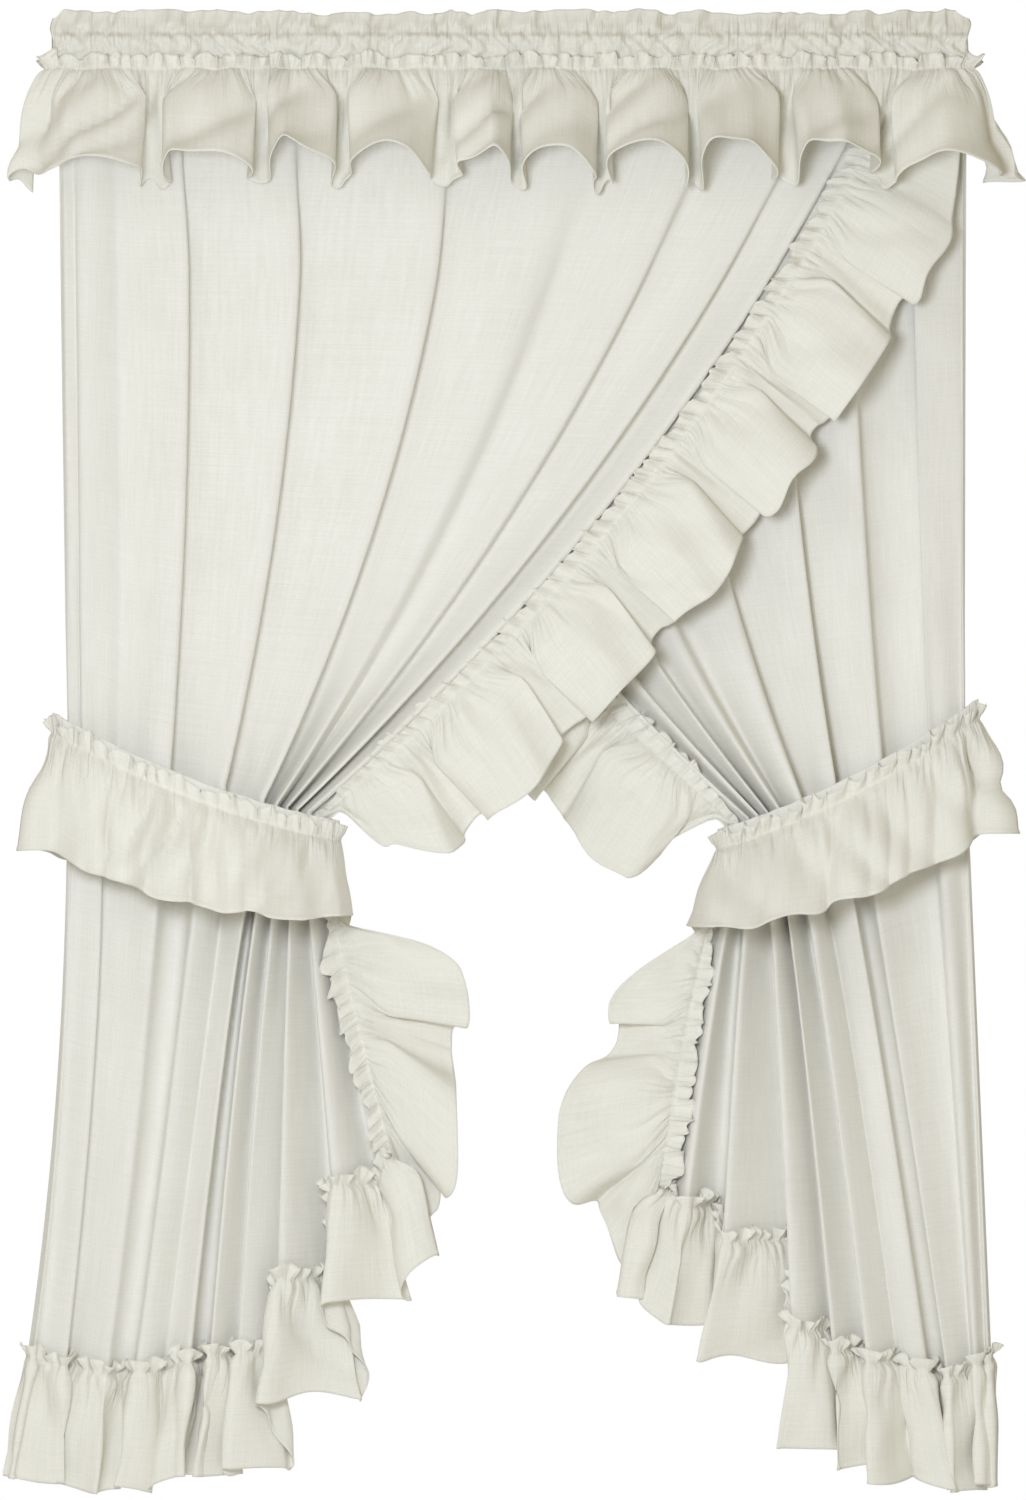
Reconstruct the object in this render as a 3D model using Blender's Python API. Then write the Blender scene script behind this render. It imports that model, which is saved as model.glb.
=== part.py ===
"""A pair of priscilla curtains: two ruffled panels crossed under one heading and tied back.

The curtains face -Y and hang down -Z. The origin is on the axis of the empty rod pocket, 4.5 mm
to the right of the middle of its length.
Tables are in millimetres, as a maker would note them, and every mesh is in metres.
"""

import math
from collections import namedtuple

import bmesh
import bpy
from mathutils import Vector

MM = 0.001

# Cloth and sewing
CLOTH = 1.2
SEAM_GAP = 0.6
RUFFLE_DROP = 127.0
RUFFLE_HEADING = 13.0

# Heading: a frill above a pocket for a flat rod, closed by a seam the rest hangs from
HEAD_LEFT, HEAD_RIGHT = -497.0, 488.0
POCKET_TOP, POCKET_BOTTOM = 16.5, -17.0
POCKET_HALF_DEPTH = 8.0
POCKET_FRONT = 10.6
SEAM_BOTTOM = -21.5
FRILL_TOP = 40.0
FRILL_END_DROP = 9.0
FRILL_HALF_THICKNESS = 1.3
FRILL_END = 28.0
FRILL_WAVE, FRILL_LENGTH, FRILL_BOW = 1.6, 57.0, 2.4
PUCKER_DEPTH, PUCKER_LENGTH = 0.8, 8.7
HEAD_STATIONS = 84

# Where the panels start, just under the heading's seam
PANEL_TOP = SEAM_BOTTOM - SEAM_GAP

# Folds of a panel, from its outer edge to its leading edge. The places across are for a panel
# that is tied back on the left: at the heading, at the tie and at the hem. Drop is the height of
# the hem seam, sag bows the cloth between heading and tie. Belly, waist and skirt are the depths
# above, in and below the tie. A lean over 1 laps a fold over its neighbour, to the right if
# positive, above and below the tie.
Fold = namedtuple("Fold", "head tie hem drop sag belly waist skirt lean_above lean_below")

LEFT_FOLDS = (
    Fold(-490, -480, -524, -1409, 0, -6, -3, -9, 0.0, 0.0),
    Fold(-462, -456, -494, -1417, 2, 8, 8, 11, -0.9, 1.4),
    Fold(-384, -388, -446, -1426, 9, 13, 15, 9, 1.45, 0.7),
    Fold(-273, -326, -398, -1424, 20, 14, 20, 11, 1.5, -0.8),
    Fold(-102, -276, -356, -1412, 38, 15, 21, 14, 1.5, 0.9),
    Fold(60, -256, -318, -1406, 42, 6, 19, 15, 0.5, -1.3),
    Fold(205, -245, -288, -1402, 42, 11, 18, 12, 1.0, -1.2),
    Fold(322, -235, -238, -1324, 44, 12, 16, 22, 1.3, -1.5),
    Fold(390, -222, -177, -1222, 50, 10, 11, 22, 1.3, -1.5),
    Fold(424, -206, -131, -1190, 55, 0, 2, 5, 0.0, 0.0),
)

RIGHT_FOLDS = (
    Fold(-488, -486, -514, -1407, 0, -5, -3, -8, 0.0, 0.0),
    Fold(-456, -466, -500, -1416, 2, 7, 8, 10, 1.4, 0.8),
    Fold(-330, -378, -474, -1428, 8, 12, 15, 9, -1.2, 1.2),
    Fold(-252, -336, -436, -1424, 18, 12, 19, 12, -1.5, -1.2),
    Fold(-90, -302, -392, -1414, 34, 14, 20, 15, -1.3, 1.4),
    Fold(70, -282, -352, -1402, 40, 7, 19, 14, -0.6, 1.5),
    Fold(190, -270, -318, -1380, 40, 11, 18, 20, -1.2, 1.5),
    Fold(300, -260, -243, -1284, 44, 11, 15, 22, -1.2, 1.5),
    Fold(366, -250, -186, -1246, 50, 9, 11, 18, -1.0, 0.2),
    Fold(396, -236, -156, -1226, 55, 0, 2, 4, 0.0, 0.0),
)

# A panel: the side it is tied back to, its folds, the middle of its depth at each station down,
# where between two folds the hem steps, how the cloth spreads below the tie (outer edge, middle,
# leading edge), the tie's height at the outer and leading edges, how far the edge ruffle has
# opened at each distance from the tie above and below it, how steeply it falls at each station,
# and how far along the stitching the flutes above and below the tie are counted from
Panel = namedtuple(
    "Panel",
    "side folds middle hem_step spread tie_high tie_low opening_above opening_below fall "
    "flute_start",
)

LEFT_PANEL = Panel(
    side=1,
    folds=LEFT_FOLDS,
    middle=((0, -5.5), (0.16, -14), (0.4, -20), (0.82, -20), (1, -8), (2, -8), (3, -3)),
    hem_step=(0.48, 0.98),
    spread=(2.2, 0.7, 1.2),
    tie_high=-738.0,
    tie_low=-842.0,
    opening_above=((32, 0), (66, 0.5), (100, 1)),
    opening_below=((98, 0), (138, 1)),
    fall=((0, 0.15), (2.33, 0.2), (2.56, 0.65), (2.85, 1.6), (3, 3.2)),
    flute_start=(-52.0, 23.0),
)
RIGHT_PANEL = Panel(
    side=-1,
    folds=RIGHT_FOLDS,
    middle=((0, 5.5), (0.16, 14), (0.4, 18), (0.86, 18), (1, 8), (2, 8), (3, 3)),
    hem_step=(0.02, 0.52),
    spread=(1.0, 0.75, 0.7),
    tie_high=-724.0,
    tie_low=-850.0,
    opening_above=((32, 0), (66, 0.5), (100, 1)),
    opening_below=((98, 0), (175, 0.66), (225, 0.6), (290, 1)),
    fall=((0, 0.3), (2, 0.2), (2.72, 0.25), (2.86, 1.2), (3, 3.6)),
    flute_start=(53.0, 53.0),
)

# Stations down a panel: 0 at the heading, 1 to 2 inside the tie, 3 at the hem seam
PANEL_ROWS = (0, 0.1, 0.21, 0.34, 0.48, 0.62, 0.75, 0.87, 1, 2, 2.09, 2.24, 2.42, 2.62, 2.82, 3)
POINTS_PER_FOLD = 6
EDGE_FLAT = 0.55
BELLY_GROWS = ((0, 0.3), (0.38, 1.0))
LEAN_GROWS = ((0, 0.35), (0.3, 1.0))
WAIST_STARTS, SKIRT_REACH = 0.72, 0.55
WAIST_HALF_HEIGHT = 17.0

# Edge ruffles: uneven flutes, measured along the stitching
FLUTE_SPANS = (150, 124, 142, 118, 146, 131)
FLUTE_DEPTH = 24.0
FLUTE_LEAN = 8.0
FLUTE_RECESS = 0.1
EDGE_STEP, HEM_STEP = 14.0, 18.0
RUFFLE_ROWS = (-1, 0, 0.45, 1)
TIE_SQUEEZE = 0.07
EDGE_FACING = 1.0
FLUTE_BIAS = 0.45
FLUTE_WIDE = 1.6
MITRE_LIMIT = 0.15
CORNER_TRIM = 0.2
TUCK_LEAST = 0.3
VALLEY_SHARE, HEADING_ROOM = 0.67, 0.55
CORNER_REACH = 60.0
SCALLOP_RISE, SCALLOP_LIFT, SCALLOP_FLIP = 2.0, 2.2, 0.8
TOP_DROP, TOP_REACH = 0.5, 0.14
TOP_OPEN, TOP_FREE = 0.05, 0.3

# Half a flute in equal shares of its cloth, from a valley to the crest: how far across it the
# cloth lies under the gathers and at the hem, and how far out it stands
Pleat = namedtuple("Pleat", "narrow wide out")
PLEAT = (
    Pleat(0.0, 0.0, 0.0),
    Pleat(0.07, 0.12, 0.06),
    Pleat(0.05, 0.1, 0.62),
    Pleat(0.24, 0.27, 0.9),
    Pleat(0.5, 0.5, 1.0),
)
PLEAT_REACH = 0.35

# Valance: where each flute of the ruffle starts, where across it the crest is, and its flare
VALANCE_RIGHT = 494.0
VALANCE_SEAM = -22.5
VALANCE_FRONT = -(POCKET_FRONT + 0.9 + CLOTH / 2 + 0.3)
VALANCE_BACK = 22.0
VALANCE_CORNER = 12.0
Flute = namedtuple("Flute", "left crest flare")
VALANCE_FLUTES = (
    Flute(-504, 0.47, 38),
    Flute(-386, 0.62, 44),
    Flute(-271, 0.34, 50),
    Flute(-182, 0.40, 46),
    Flute(-71, 0.66, 45),
    Flute(2, 0.36, 43),
    Flute(95, 0.58, 46),
    Flute(191, 0.36, 50),
    Flute(291, 0.40, 52),
    Flute(396, 0.66, 42),
)
VALLEY_FLARE = 9.0
VALANCE_TOP_FLARE = 0.8
VALANCE_TURN, CORNER_TURN = 36.0, 0.6
SIDE_FLARE = 21.0
BACK_FLARE = 4.0
VALANCE_STEPS = 10
VALANCE_ROWS = (-1, 0, 0.5, 1)

# Tiebacks: a plain band round the gathered cloth, with a ruffle sewn to its middle that flares
# by so many degrees at the front. The nose is how much of its flare it keeps at its inner bend.
TieBack = namedtuple("TieBack", "panel outer inner depth outer_flare inner_flare nose")
LEFT_TIE = TieBack(LEFT_PANEL, -496.0, -188.0, 24.3, 12.0, 46.0, 0.15)
RIGHT_TIE = TieBack(RIGHT_PANEL, -500.0, -220.0, 23.0, 18.0, 44.0, 0.38)
TIE_BAND = 30.0
TIE_SQUARENESS = 2.6
TIE_OPEN_DEG = 5.0
TIE_STEPS = 44
TIE_GATHER_DROP = 8.0
TIE_FRILL = 11.0
TIE_SAG = 11.0
TIE_BACK_FLARE = 8.0
TIE_FLUTES = 8
TIE_FLUTE_DEPTH = 7.0

CREAM = (0.87, 0.865, 0.80, 1.0)
IVORY = (0.86, 0.85, 0.775, 1.0)


def mix(a, b, t):
    return a + (b - a) * t


def ease(t):
    """0 up to t = 0, 1 from t = 1, smooth between."""
    t = min(1.0, max(0.0, t))
    return t * t * (3 - 2 * t)


def spline(values, s):
    """A smooth curve through values at s = 0, 1, 2 ..."""
    last = len(values) - 1
    s = min(float(last), max(0.0, s))
    k = min(int(s), last - 1)
    t = s - k
    a, b, c, d = (values[min(last, max(0, k + i))] for i in (-1, 0, 1, 2))
    return b + 0.5 * t * (c - a + t * (2 * a - 5 * b + 4 * c - d + t * (3 * (b - c) + d - a)))


def follow(stations, w):
    """The value at w on straight runs between (station, value) pairs."""
    for (w0, a), (w1, b) in zip(stations, stations[1:]):
        if w <= w1:
            return mix(a, b, ease((w - w0) / (w1 - w0)))
    return stations[-1][1]


def column(panel, name, s):
    return spline([getattr(fold, name) for fold in panel.folds], s)


def tie_height(panel, x):
    """The tie slopes and sags from the outer edge down to the leading edge."""
    outer, inner = panel.folds[0].tie, panel.folds[-1].tie
    t = (x - outer) / (inner - outer)
    return mix(panel.tie_high, panel.tie_low, t) - TIE_SAG * 4 * t * (1 - t)


def stepped(panel, s):
    """The fold count for the hem's height, held on each front face and stepped behind it."""
    k = math.floor(s)
    low, high = panel.hem_step
    return k + ease((s - k - low) / (high - low))


def ground(panel, s, w):
    """(across, height) of the cloth before it is folded."""
    tie_x = column(panel, "tie", s)
    tie_z = tie_height(panel, tie_x)
    if w <= 1:
        start = Vector((column(panel, "head", s), PANEL_TOP))
        run = Vector((tie_x, tie_z + WAIST_HALF_HEIGHT)) - start
        bow = Vector((-run.y, run.x)).normalized() * 4 * w * (1 - w)
        return start + run * w + bow * column(panel, "sag", s)
    if w <= 2:
        return Vector((tie_x, tie_z + WAIST_HALF_HEIGHT * (3 - 2 * w)))
    down = w - 2
    spread = down ** spline(panel.spread, 2 * s / (len(panel.folds) - 1))
    drop = column(panel, "drop", stepped(panel, s))
    return Vector(
        (
            mix(tie_x, column(panel, "hem", s), spread),
            mix(tie_z - WAIST_HALF_HEIGHT, drop, down),
        )
    )


def fold_depth(panel, s, w):
    """Half the depth of the folds, flattened where the edge ruffle is sewn on."""
    edge = ease((len(panel.folds) - 1 - s) / EDGE_FLAT)
    waist = column(panel, "waist", s)
    if w <= 1:
        belly = column(panel, "belly", s) * follow(BELLY_GROWS, w)
        return edge * mix(belly, waist, ease((w - WAIST_STARTS) / (1 - WAIST_STARTS)))
    return edge * mix(waist, column(panel, "skirt", s), ease((w - 2) / SKIRT_REACH))


def fold_lean(panel, s, w):
    above = column(panel, "lean_above", s) * follow(LEAN_GROWS, w)
    below = column(panel, "lean_below", s)
    return mix(above, below, ease((w - 1.2) / 1.2))


def panel_point(panel, s, w):
    """The cloth s folds in from the outer edge, at station w down, in millimetres."""
    swing = math.cos(2 * math.pi * s)
    slid = s + fold_lean(panel, s, w) / (2 * math.pi) * swing
    x = ground(panel, slid, w).x
    z = ground(panel, s, w).y
    y = follow(panel.middle, w) - fold_depth(panel, s, w) * swing
    return Vector((x * panel.side, y, z))


def course(points, i, axis):
    """The way a line of points runs at one of them, square to an axis and halfway between the
    runs that meet there."""
    total = Vector((0, 0, 0))
    for p, q in zip(points[max(i - 1, 0) : i + 1], points[max(i, 1) : i + 2]):
        run = q - p
        total += (run - axis * run.dot(axis)).normalized()
    return total.normalized()


def grid_normals(grid):
    """A unit normal for each point of a grid, to the front where it runs down and right."""
    columns = list(zip(*grid))
    normals = []
    for j, line in enumerate(grid):
        downs = [course(columns[i], j, Vector((0, 0, 0))) for i in range(len(line))]
        normals.append([down.cross(course(line, i, down)) for i, down in enumerate(downs)])
    return normals


def material(name, colour, roughness):
    made = bpy.data.materials.new(name)
    made.use_nodes = True
    shader = made.node_tree.nodes["Principled BSDF"]
    shader.inputs["Base Color"].default_value = colour
    shader.inputs["Roughness"].default_value = roughness
    shader.inputs["Metallic"].default_value = 0.0
    return made


def add_object(name, mesh_maker, cloth):
    """A new smooth-shaded object from the bmesh that mesh_maker fills, in metres."""
    bm = bmesh.new()
    mesh_maker(bm)
    bmesh.ops.scale(bm, vec=(MM, MM, MM), verts=bm.verts)
    mesh = bpy.data.meshes.new(name)
    bm.to_mesh(mesh)
    bm.free()
    mesh.shade_smooth()
    mesh.materials.append(cloth)
    thing = bpy.data.objects.new(name, mesh)
    bpy.context.scene.collection.objects.link(thing)
    return thing


def add_sheet(name, grid, cloth):
    """One sheet of cloth through a grid of points, given its thickness by Solidify."""

    def fill(bm):
        rows = [[bm.verts.new(point) for point in line] for line in grid]
        for upper, lower in zip(rows, rows[1:]):
            for i in range(len(upper) - 1):
                bm.faces.new((upper[i], lower[i], lower[i + 1]))
                bm.faces.new((upper[i], lower[i + 1], upper[i + 1]))

    sheet = add_object(name, fill, cloth)
    thick = sheet.modifiers.new("Cloth", "SOLIDIFY")
    thick.thickness = CLOTH * MM
    thick.offset = 0.0
    return sheet


def panel_grid(panel):
    folds = len(panel.folds) - 1
    stations = [k / POINTS_PER_FOLD for k in range(folds * POINTS_PER_FOLD + 1)]
    return [[panel_point(panel, s, w) for s in stations] for w in PANEL_ROWS]


Stitch = namedtuple("Stitch", "normal facing hang above place tuck station")


def inward(line, distance):
    """Where on a row of cloth, counted in its points, a distance from its end lies."""
    for k in range(len(line) - 1, 0, -1):
        step = (line[k] - line[k - 1]).length
        if step >= distance:
            return k - distance / step
        distance -= step
    return 0.0


def between(vectors, k):
    low = min(int(k), len(vectors) - 2)
    return vectors[low].lerp(vectors[low + 1], k - low)


def standing(line, k, above):
    """From the end of a row of cloth to where k counts, raised to clear the cloth between."""
    edge, reach = line[-1], between(line, k) - line[-1]
    rise = 0.0
    for point in line[int(k) + 1 : -1]:
        share = (point - edge).dot(reach) / reach.length_squared
        rise = max(rise, (point - edge - reach * share).dot(above) / max(share, 0.05))
    return reach + above * rise


def rows_down(grid, step):
    """The grid's rows, with more between them where they are over a step apart at the end."""
    normals = grid_normals(grid)
    yield grid[0], normals[0], PANEL_ROWS[0]
    for j in range(len(grid) - 1):
        parts = max(1, math.ceil((grid[j + 1][-1] - grid[j][-1]).length / step))
        for k in range(1, parts + 1):
            t = k / parts
            cloth = [p.lerp(q, t) for p, q in zip(grid[j], grid[j + 1])]
            normal = [p.lerp(q, t).normalized() for p, q in zip(normals[j], normals[j + 1])]
            yield cloth, normal, mix(PANEL_ROWS[j], PANEL_ROWS[j + 1], t)


def edge_stitches(panel, grid, front):
    """Stitches down the leading edge of the cloth."""
    rows = list(rows_down(grid, EDGE_STEP))
    last = len(rows) - 1
    for j, (cloth, normal, w) in enumerate(rows):
        run = rows[min(j + 1, last)][0][-1] - rows[max(j - 1, 0)][0][-1]
        flat = normal[-1] * front
        facing = (flat - Vector((0, EDGE_FACING, 0))).normalized()
        hang = facing.cross(run).normalized() * panel.side
        hang.z -= follow(panel.fall, w)
        hang.z *= ease(w / TOP_REACH)
        valley = cloth[-1 - round(POINTS_PER_FOLD * VALLEY_SHARE) :]
        room = sum((q - p).length for p, q in zip(valley, valley[1:]))
        k = inward(cloth, min(RUFFLE_HEADING, room * HEADING_ROOM))
        above = (between(normal, k).normalized() * front + flat).normalized()
        tuck = standing(cloth, k, above)
        yield Stitch(flat, facing, hang.normalized(), above, cloth[-1], tuck, w)


def hem_stitches(grid, front):
    """Stitches along the hem, from the leading edge to the outer edge."""
    for cloth, over, normal in zip(grid[-1][::-1], grid[-2][::-1], grid_normals(grid)[-1][::-1]):
        hang, flat = (cloth - over).normalized(), normal * front
        yield Stitch(flat, flat, hang, flat, cloth, -hang * RUFFLE_HEADING, 3.0)


def resampled(stitches, step):
    """The line with each run cut into equal parts no longer than step."""
    made = [stitches[0]]
    for a, b in zip(stitches, stitches[1:]):
        parts = max(1, math.ceil((b.place - a.place).length / step))
        for k in range(1, parts + 1):
            values = [p.lerp(q, k / parts) for p, q in zip(a[:6], b[:6])]
            units = [value.normalized() for value in values[:4]]
            made.append(Stitch(*units, *values[4:], mix(a.station, b.station, k / parts)))
    return made


def stitch_line(panel, grid):
    """The stitching down the leading edge, then along the hem. Each stitch has the cloth's
    normal there and the way its ruffle faces and hangs, and then the cloth's normal and place,
    from the stitch, where the ruffle's heading lies."""
    front = -1 if panel.side < 0 else 1
    edge = list(edge_stitches(panel, grid, front))
    hem = resampled(list(hem_stitches(grid, front)), HEM_STEP)
    turned = []
    for stitch in hem:
        far = ease((stitch.place - edge[-1].place).length / CORNER_REACH)
        hang = edge[-1].hang.lerp(stitch.hang, far).normalized()
        turned.append(stitch._replace(hang=hang))
    return edge + turned[1:]


def flute_at(distance):
    """(share, span) of the flute at a distance along the stitching."""
    rest = distance % sum(FLUTE_SPANS)
    for span in FLUTE_SPANS:
        if rest < span:
            break
        rest -= span
    return rest / span, span


def pleat(share, spread):
    """(across, out) at a share of one flute's cloth, from valley to valley, where its valleys
    are spread so far."""
    half = 2 * (len(PLEAT) - 1) * min(share, 1 - share)
    narrow, wide, out = (spline(list(values), half) for values in zip(*PLEAT))
    across = mix(narrow, wide, spread)
    return (across if share < 0.5 else 1 - across), out


def squeeze_at(panel, w, from_tie):
    """How far the ruffle is open, from its distance along the stitching to the tie."""
    opening = panel.opening_above if w < 1.5 else panel.opening_below
    return mix(TIE_SQUEEZE, 1.0, follow(opening, from_tie))


def mitre(stitch, runs):
    """How much longer an offset is at a bend, so that it keeps its distance from both runs."""
    axis = stitch.tuck.normalized()
    level = [(run - axis * run.dot(axis)).normalized() for run in runs]
    lean = max(abs(stitch.normal.dot(run)) for run in level)
    return 1 / math.sqrt(max(MITRE_LIMIT, 1 - lean * lean))


def ruffle_grid(panel, grid):
    """A strip gathered on to the panel's leading edge and hem, with its heading over the cloth."""
    line = stitch_line(panel, grid)
    along = [0.0]
    for a, b in zip(line, line[1:]):
        along.append(along[-1] + (b.place - a.place).length)
    corner = next(a for a, stitch in zip(along, line) if stitch.station >= 3)
    tie = next(a for a, stitch in zip(along, line) if stitch.station >= 1.5)
    last = len(line) - 1
    made = [[] for _ in RUFFLE_ROWS]
    for i, stitch in enumerate(line):
        w = stitch.station
        before = stitch.place - line[max(i - 1, 0)].place or -stitch.hang
        after = line[min(i + 1, last)].place - stitch.place or -stitch.hang
        run = (before + after).normalized()
        bend = mitre(stitch, (before, after))
        on_hem = ease((along[i] - corner) / CORNER_REACH)
        squeeze = squeeze_at(panel, w, abs(along[i] - tie))
        free = mix(TOP_OPEN, 1.0, ease(w / TOP_FREE)) * squeeze * (1 - on_hem)
        share, span = flute_at(along[i] - panel.flute_start[w >= 1.5])
        flip = squeeze * (1 if i % 2 else -1)
        clear = (CLOTH + SEAM_GAP) * bend
        trim = min(1.0, CORNER_TRIM + abs(along[i] - corner) / (1.2 * RUFFLE_HEADING))
        heading = (mix(TUCK_LEAST, 1.0, squeeze) + SCALLOP_RISE * flip / RUFFLE_HEADING) * trim
        lift = clear + SCALLOP_LIFT * (squeeze + 0.5 * flip)
        made[0].append(stitch.place + stitch.tuck * heading + stitch.above * lift)
        for rank, r in enumerate(RUFFLE_ROWS[1:], 1):
            across, out = pleat(share, FLUTE_WIDE * r)
            drop = RUFFLE_DROP * squeeze * mix(TOP_DROP, 1.0, ease(w / TOP_REACH))
            drop *= 1 - FLUTE_RECESS * free * (1 - out)
            stand = FLUTE_DEPTH * (2 * out - 1 + FLUTE_BIAS * panel.side) * r
            sway = (across - share) * span * ease(r / PLEAT_REACH) + FLUTE_LEAN * (2 * out - 1) * r
            here = stitch.place + stitch.normal * clear + stitch.hang * drop * r
            made[rank].append(here + (stitch.facing * stand + run * sway) * free)
    return made


def heading_section(x):
    """Outer and inner outlines, as (depth, height), of the heading at x: frill over pocket."""
    wave = math.sin(x / PUCKER_LENGTH) + 0.7 * math.sin(1.4 * x / PUCKER_LENGTH + 1.0)
    inside = ease(min(x - HEAD_LEFT, HEAD_RIGHT - x) / FRILL_END)
    top = FRILL_TOP - FRILL_END_DROP * (1 - inside)
    top += FRILL_WAVE * (math.sin(x / FRILL_LENGTH + 0.6) + math.sin(x / 7.3))
    thick = FRILL_HALF_THICKNESS
    bow = FRILL_BOW * wave * inside
    front = POCKET_FRONT + PUCKER_DEPTH * wave
    back = POCKET_FRONT
    neck = POCKET_TOP + 4.0
    outer = (
        (bow - thick, top),
        (-thick - 0.6, neck),
        (-front, POCKET_TOP - 5),
        (-front, POCKET_BOTTOM + 2),
        (-6.0, SEAM_BOTTOM),
        (6.0, SEAM_BOTTOM),
        (back, POCKET_BOTTOM + 2),
        (back, POCKET_TOP - 5),
        (thick + 0.6, neck),
        (bow + thick, top),
    )
    deep, low = POCKET_HALF_DEPTH, POCKET_BOTTOM
    inner = (
        (-1.5, POCKET_TOP),
        (-3.0, POCKET_TOP),
        (-deep, POCKET_TOP - 5),
        (-deep, low + 3),
        (-deep + 3, low),
        (deep - 3, low),
        (deep, low + 3),
        (deep, POCKET_TOP - 5),
        (3.0, POCKET_TOP),
        (1.5, POCKET_TOP),
    )
    return outer, inner


def ring(bm, x, outline):
    return [bm.verts.new((x, y, z)) for y, z in outline]


def skin(bm, near, far):
    """Faces between two rings of as many points."""
    for i, here in enumerate(near):
        after = (i + 1) % len(near)
        bm.faces.new((here, near[after], far[after], far[i]))


def add_heading(cloth):
    """The frill and the empty rod pocket, swept along the heading with both pocket ends open."""

    def fill(bm):
        places = [mix(HEAD_LEFT, HEAD_RIGHT, k / HEAD_STATIONS) for k in range(HEAD_STATIONS + 1)]
        outer = [ring(bm, x, heading_section(x)[0]) for x in places]
        inner = [ring(bm, x, heading_section(x)[1]) for x in (places[0], places[-1])]
        for near, far in zip(outer, outer[1:]):
            skin(bm, near, far)
        skin(bm, inner[1], inner[0])
        skin(bm, inner[0], outer[0])
        skin(bm, outer[-1], inner[1])
        bmesh.ops.triangulate(bm, faces=bm.faces)

    return add_object("heading", fill, cloth)


def valance_path():
    """Plan places, outward directions, least and most flares, shares and shapes of the flutes
    round the heading, left to right."""
    first = VALANCE_FLUTES[0].left
    corner = VALANCE_FRONT + VALANCE_CORNER
    path = []
    for y, flare in ((VALANCE_BACK, BACK_FLARE), (corner, SIDE_FLARE)):
        path.append((Vector((first, y, 0)), Vector((-1, 0, 0)), flare, flare, 0.0, 0.5, 0.0))
    ends = [flute.left for flute in VALANCE_FLUTES[1:]] + [VALANCE_RIGHT]
    for flute, end in zip(VALANCE_FLUTES, ends):
        width = end - flute.left
        for i in range(VALANCE_STEPS + (end == VALANCE_RIGHT)):
            share = i / VALANCE_STEPS
            x = flute.left + width * skewed(share, flute.crest)
            left = 1 - ease((x - first) / VALANCE_TURN)
            right = 1 - ease((VALANCE_RIGHT - x) / VALANCE_TURN)
            side = left + right
            out = Vector((right - left, side * CORNER_TURN - 1, 0)).normalized()
            place = Vector((x, VALANCE_FRONT, 0))
            low = mix(VALLEY_FLARE, SIDE_FLARE, side)
            path.append((place, out, low, flute.flare, share, flute.crest, width * (1 - side)))
    for y, flare in ((corner, SIDE_FLARE), (VALANCE_BACK, BACK_FLARE)):
        path.append((Vector((VALANCE_RIGHT, y, 0)), Vector((1, 0, 0)), flare, flare, 0.0, 0.5, 0.0))
    return path


def skewed(share, crest):
    """A share of a flute, moved so that the middle comes where the crest is."""
    return 2 * crest * share if share < 0.5 else 1 - 2 * (1 - crest) * (1 - share)


def valance_grid():
    made = [[] for _ in VALANCE_ROWS]
    for i, (place, out, low, high, share, crest, width) in enumerate(valance_path()):
        flip = 1 if i % 2 else -1
        for rank, r in enumerate(VALANCE_ROWS):
            here = place + Vector((0, 0, VALANCE_SEAM))
            if r < 0:
                here += Vector((0, 0, RUFFLE_HEADING + SCALLOP_RISE * flip))
                here += out * SCALLOP_LIFT * (1 + SCALLOP_FLIP * flip)
            else:
                across, stand = pleat(share, r)
                angle = math.radians(mix(low, high, stand * mix(VALANCE_TOP_FLARE, 1.0, r)))
                drop = RUFFLE_DROP * r
                here += out * drop * math.sin(angle) - Vector((0, 0, drop * math.cos(angle)))
                shift = (skewed(across, crest) - skewed(share, crest)) * width
                here.x += shift * ease(r / PLEAT_REACH)
            made[rank].append(here)
    return made


def tie_path(tie):
    """Places and outward directions round the loop, from its outer front end to its outer back."""
    middle = follow(tie.panel.middle, 1)
    centre, reach = (tie.outer + tie.inner) / 2, (tie.inner - tie.outer) / 2
    power = 2 / TIE_SQUARENESS
    path = []
    for k in range(TIE_STEPS + 1):
        angle = math.radians(mix(180 + TIE_OPEN_DEG, 540 - TIE_OPEN_DEG, k / TIE_STEPS))
        c, s = math.cos(angle), math.sin(angle)
        x = centre + reach * math.copysign(abs(c) ** power, c)
        y = tie.depth * math.copysign(abs(s) ** power, s)
        out = Vector((c / reach, s / tie.depth, 0)).normalized()
        place = Vector((x * tie.panel.side, middle + y, tie_height(tie.panel, x)))
        path.append((place, Vector((out.x * tie.panel.side, out.y, 0)), k / TIE_STEPS))
    return path


def band_grid(tie):
    half = Vector((0, 0, TIE_BAND / 2))
    return [[place + half * side for place, out, turn in tie_path(tie)] for side in (1, -1)]


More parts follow.
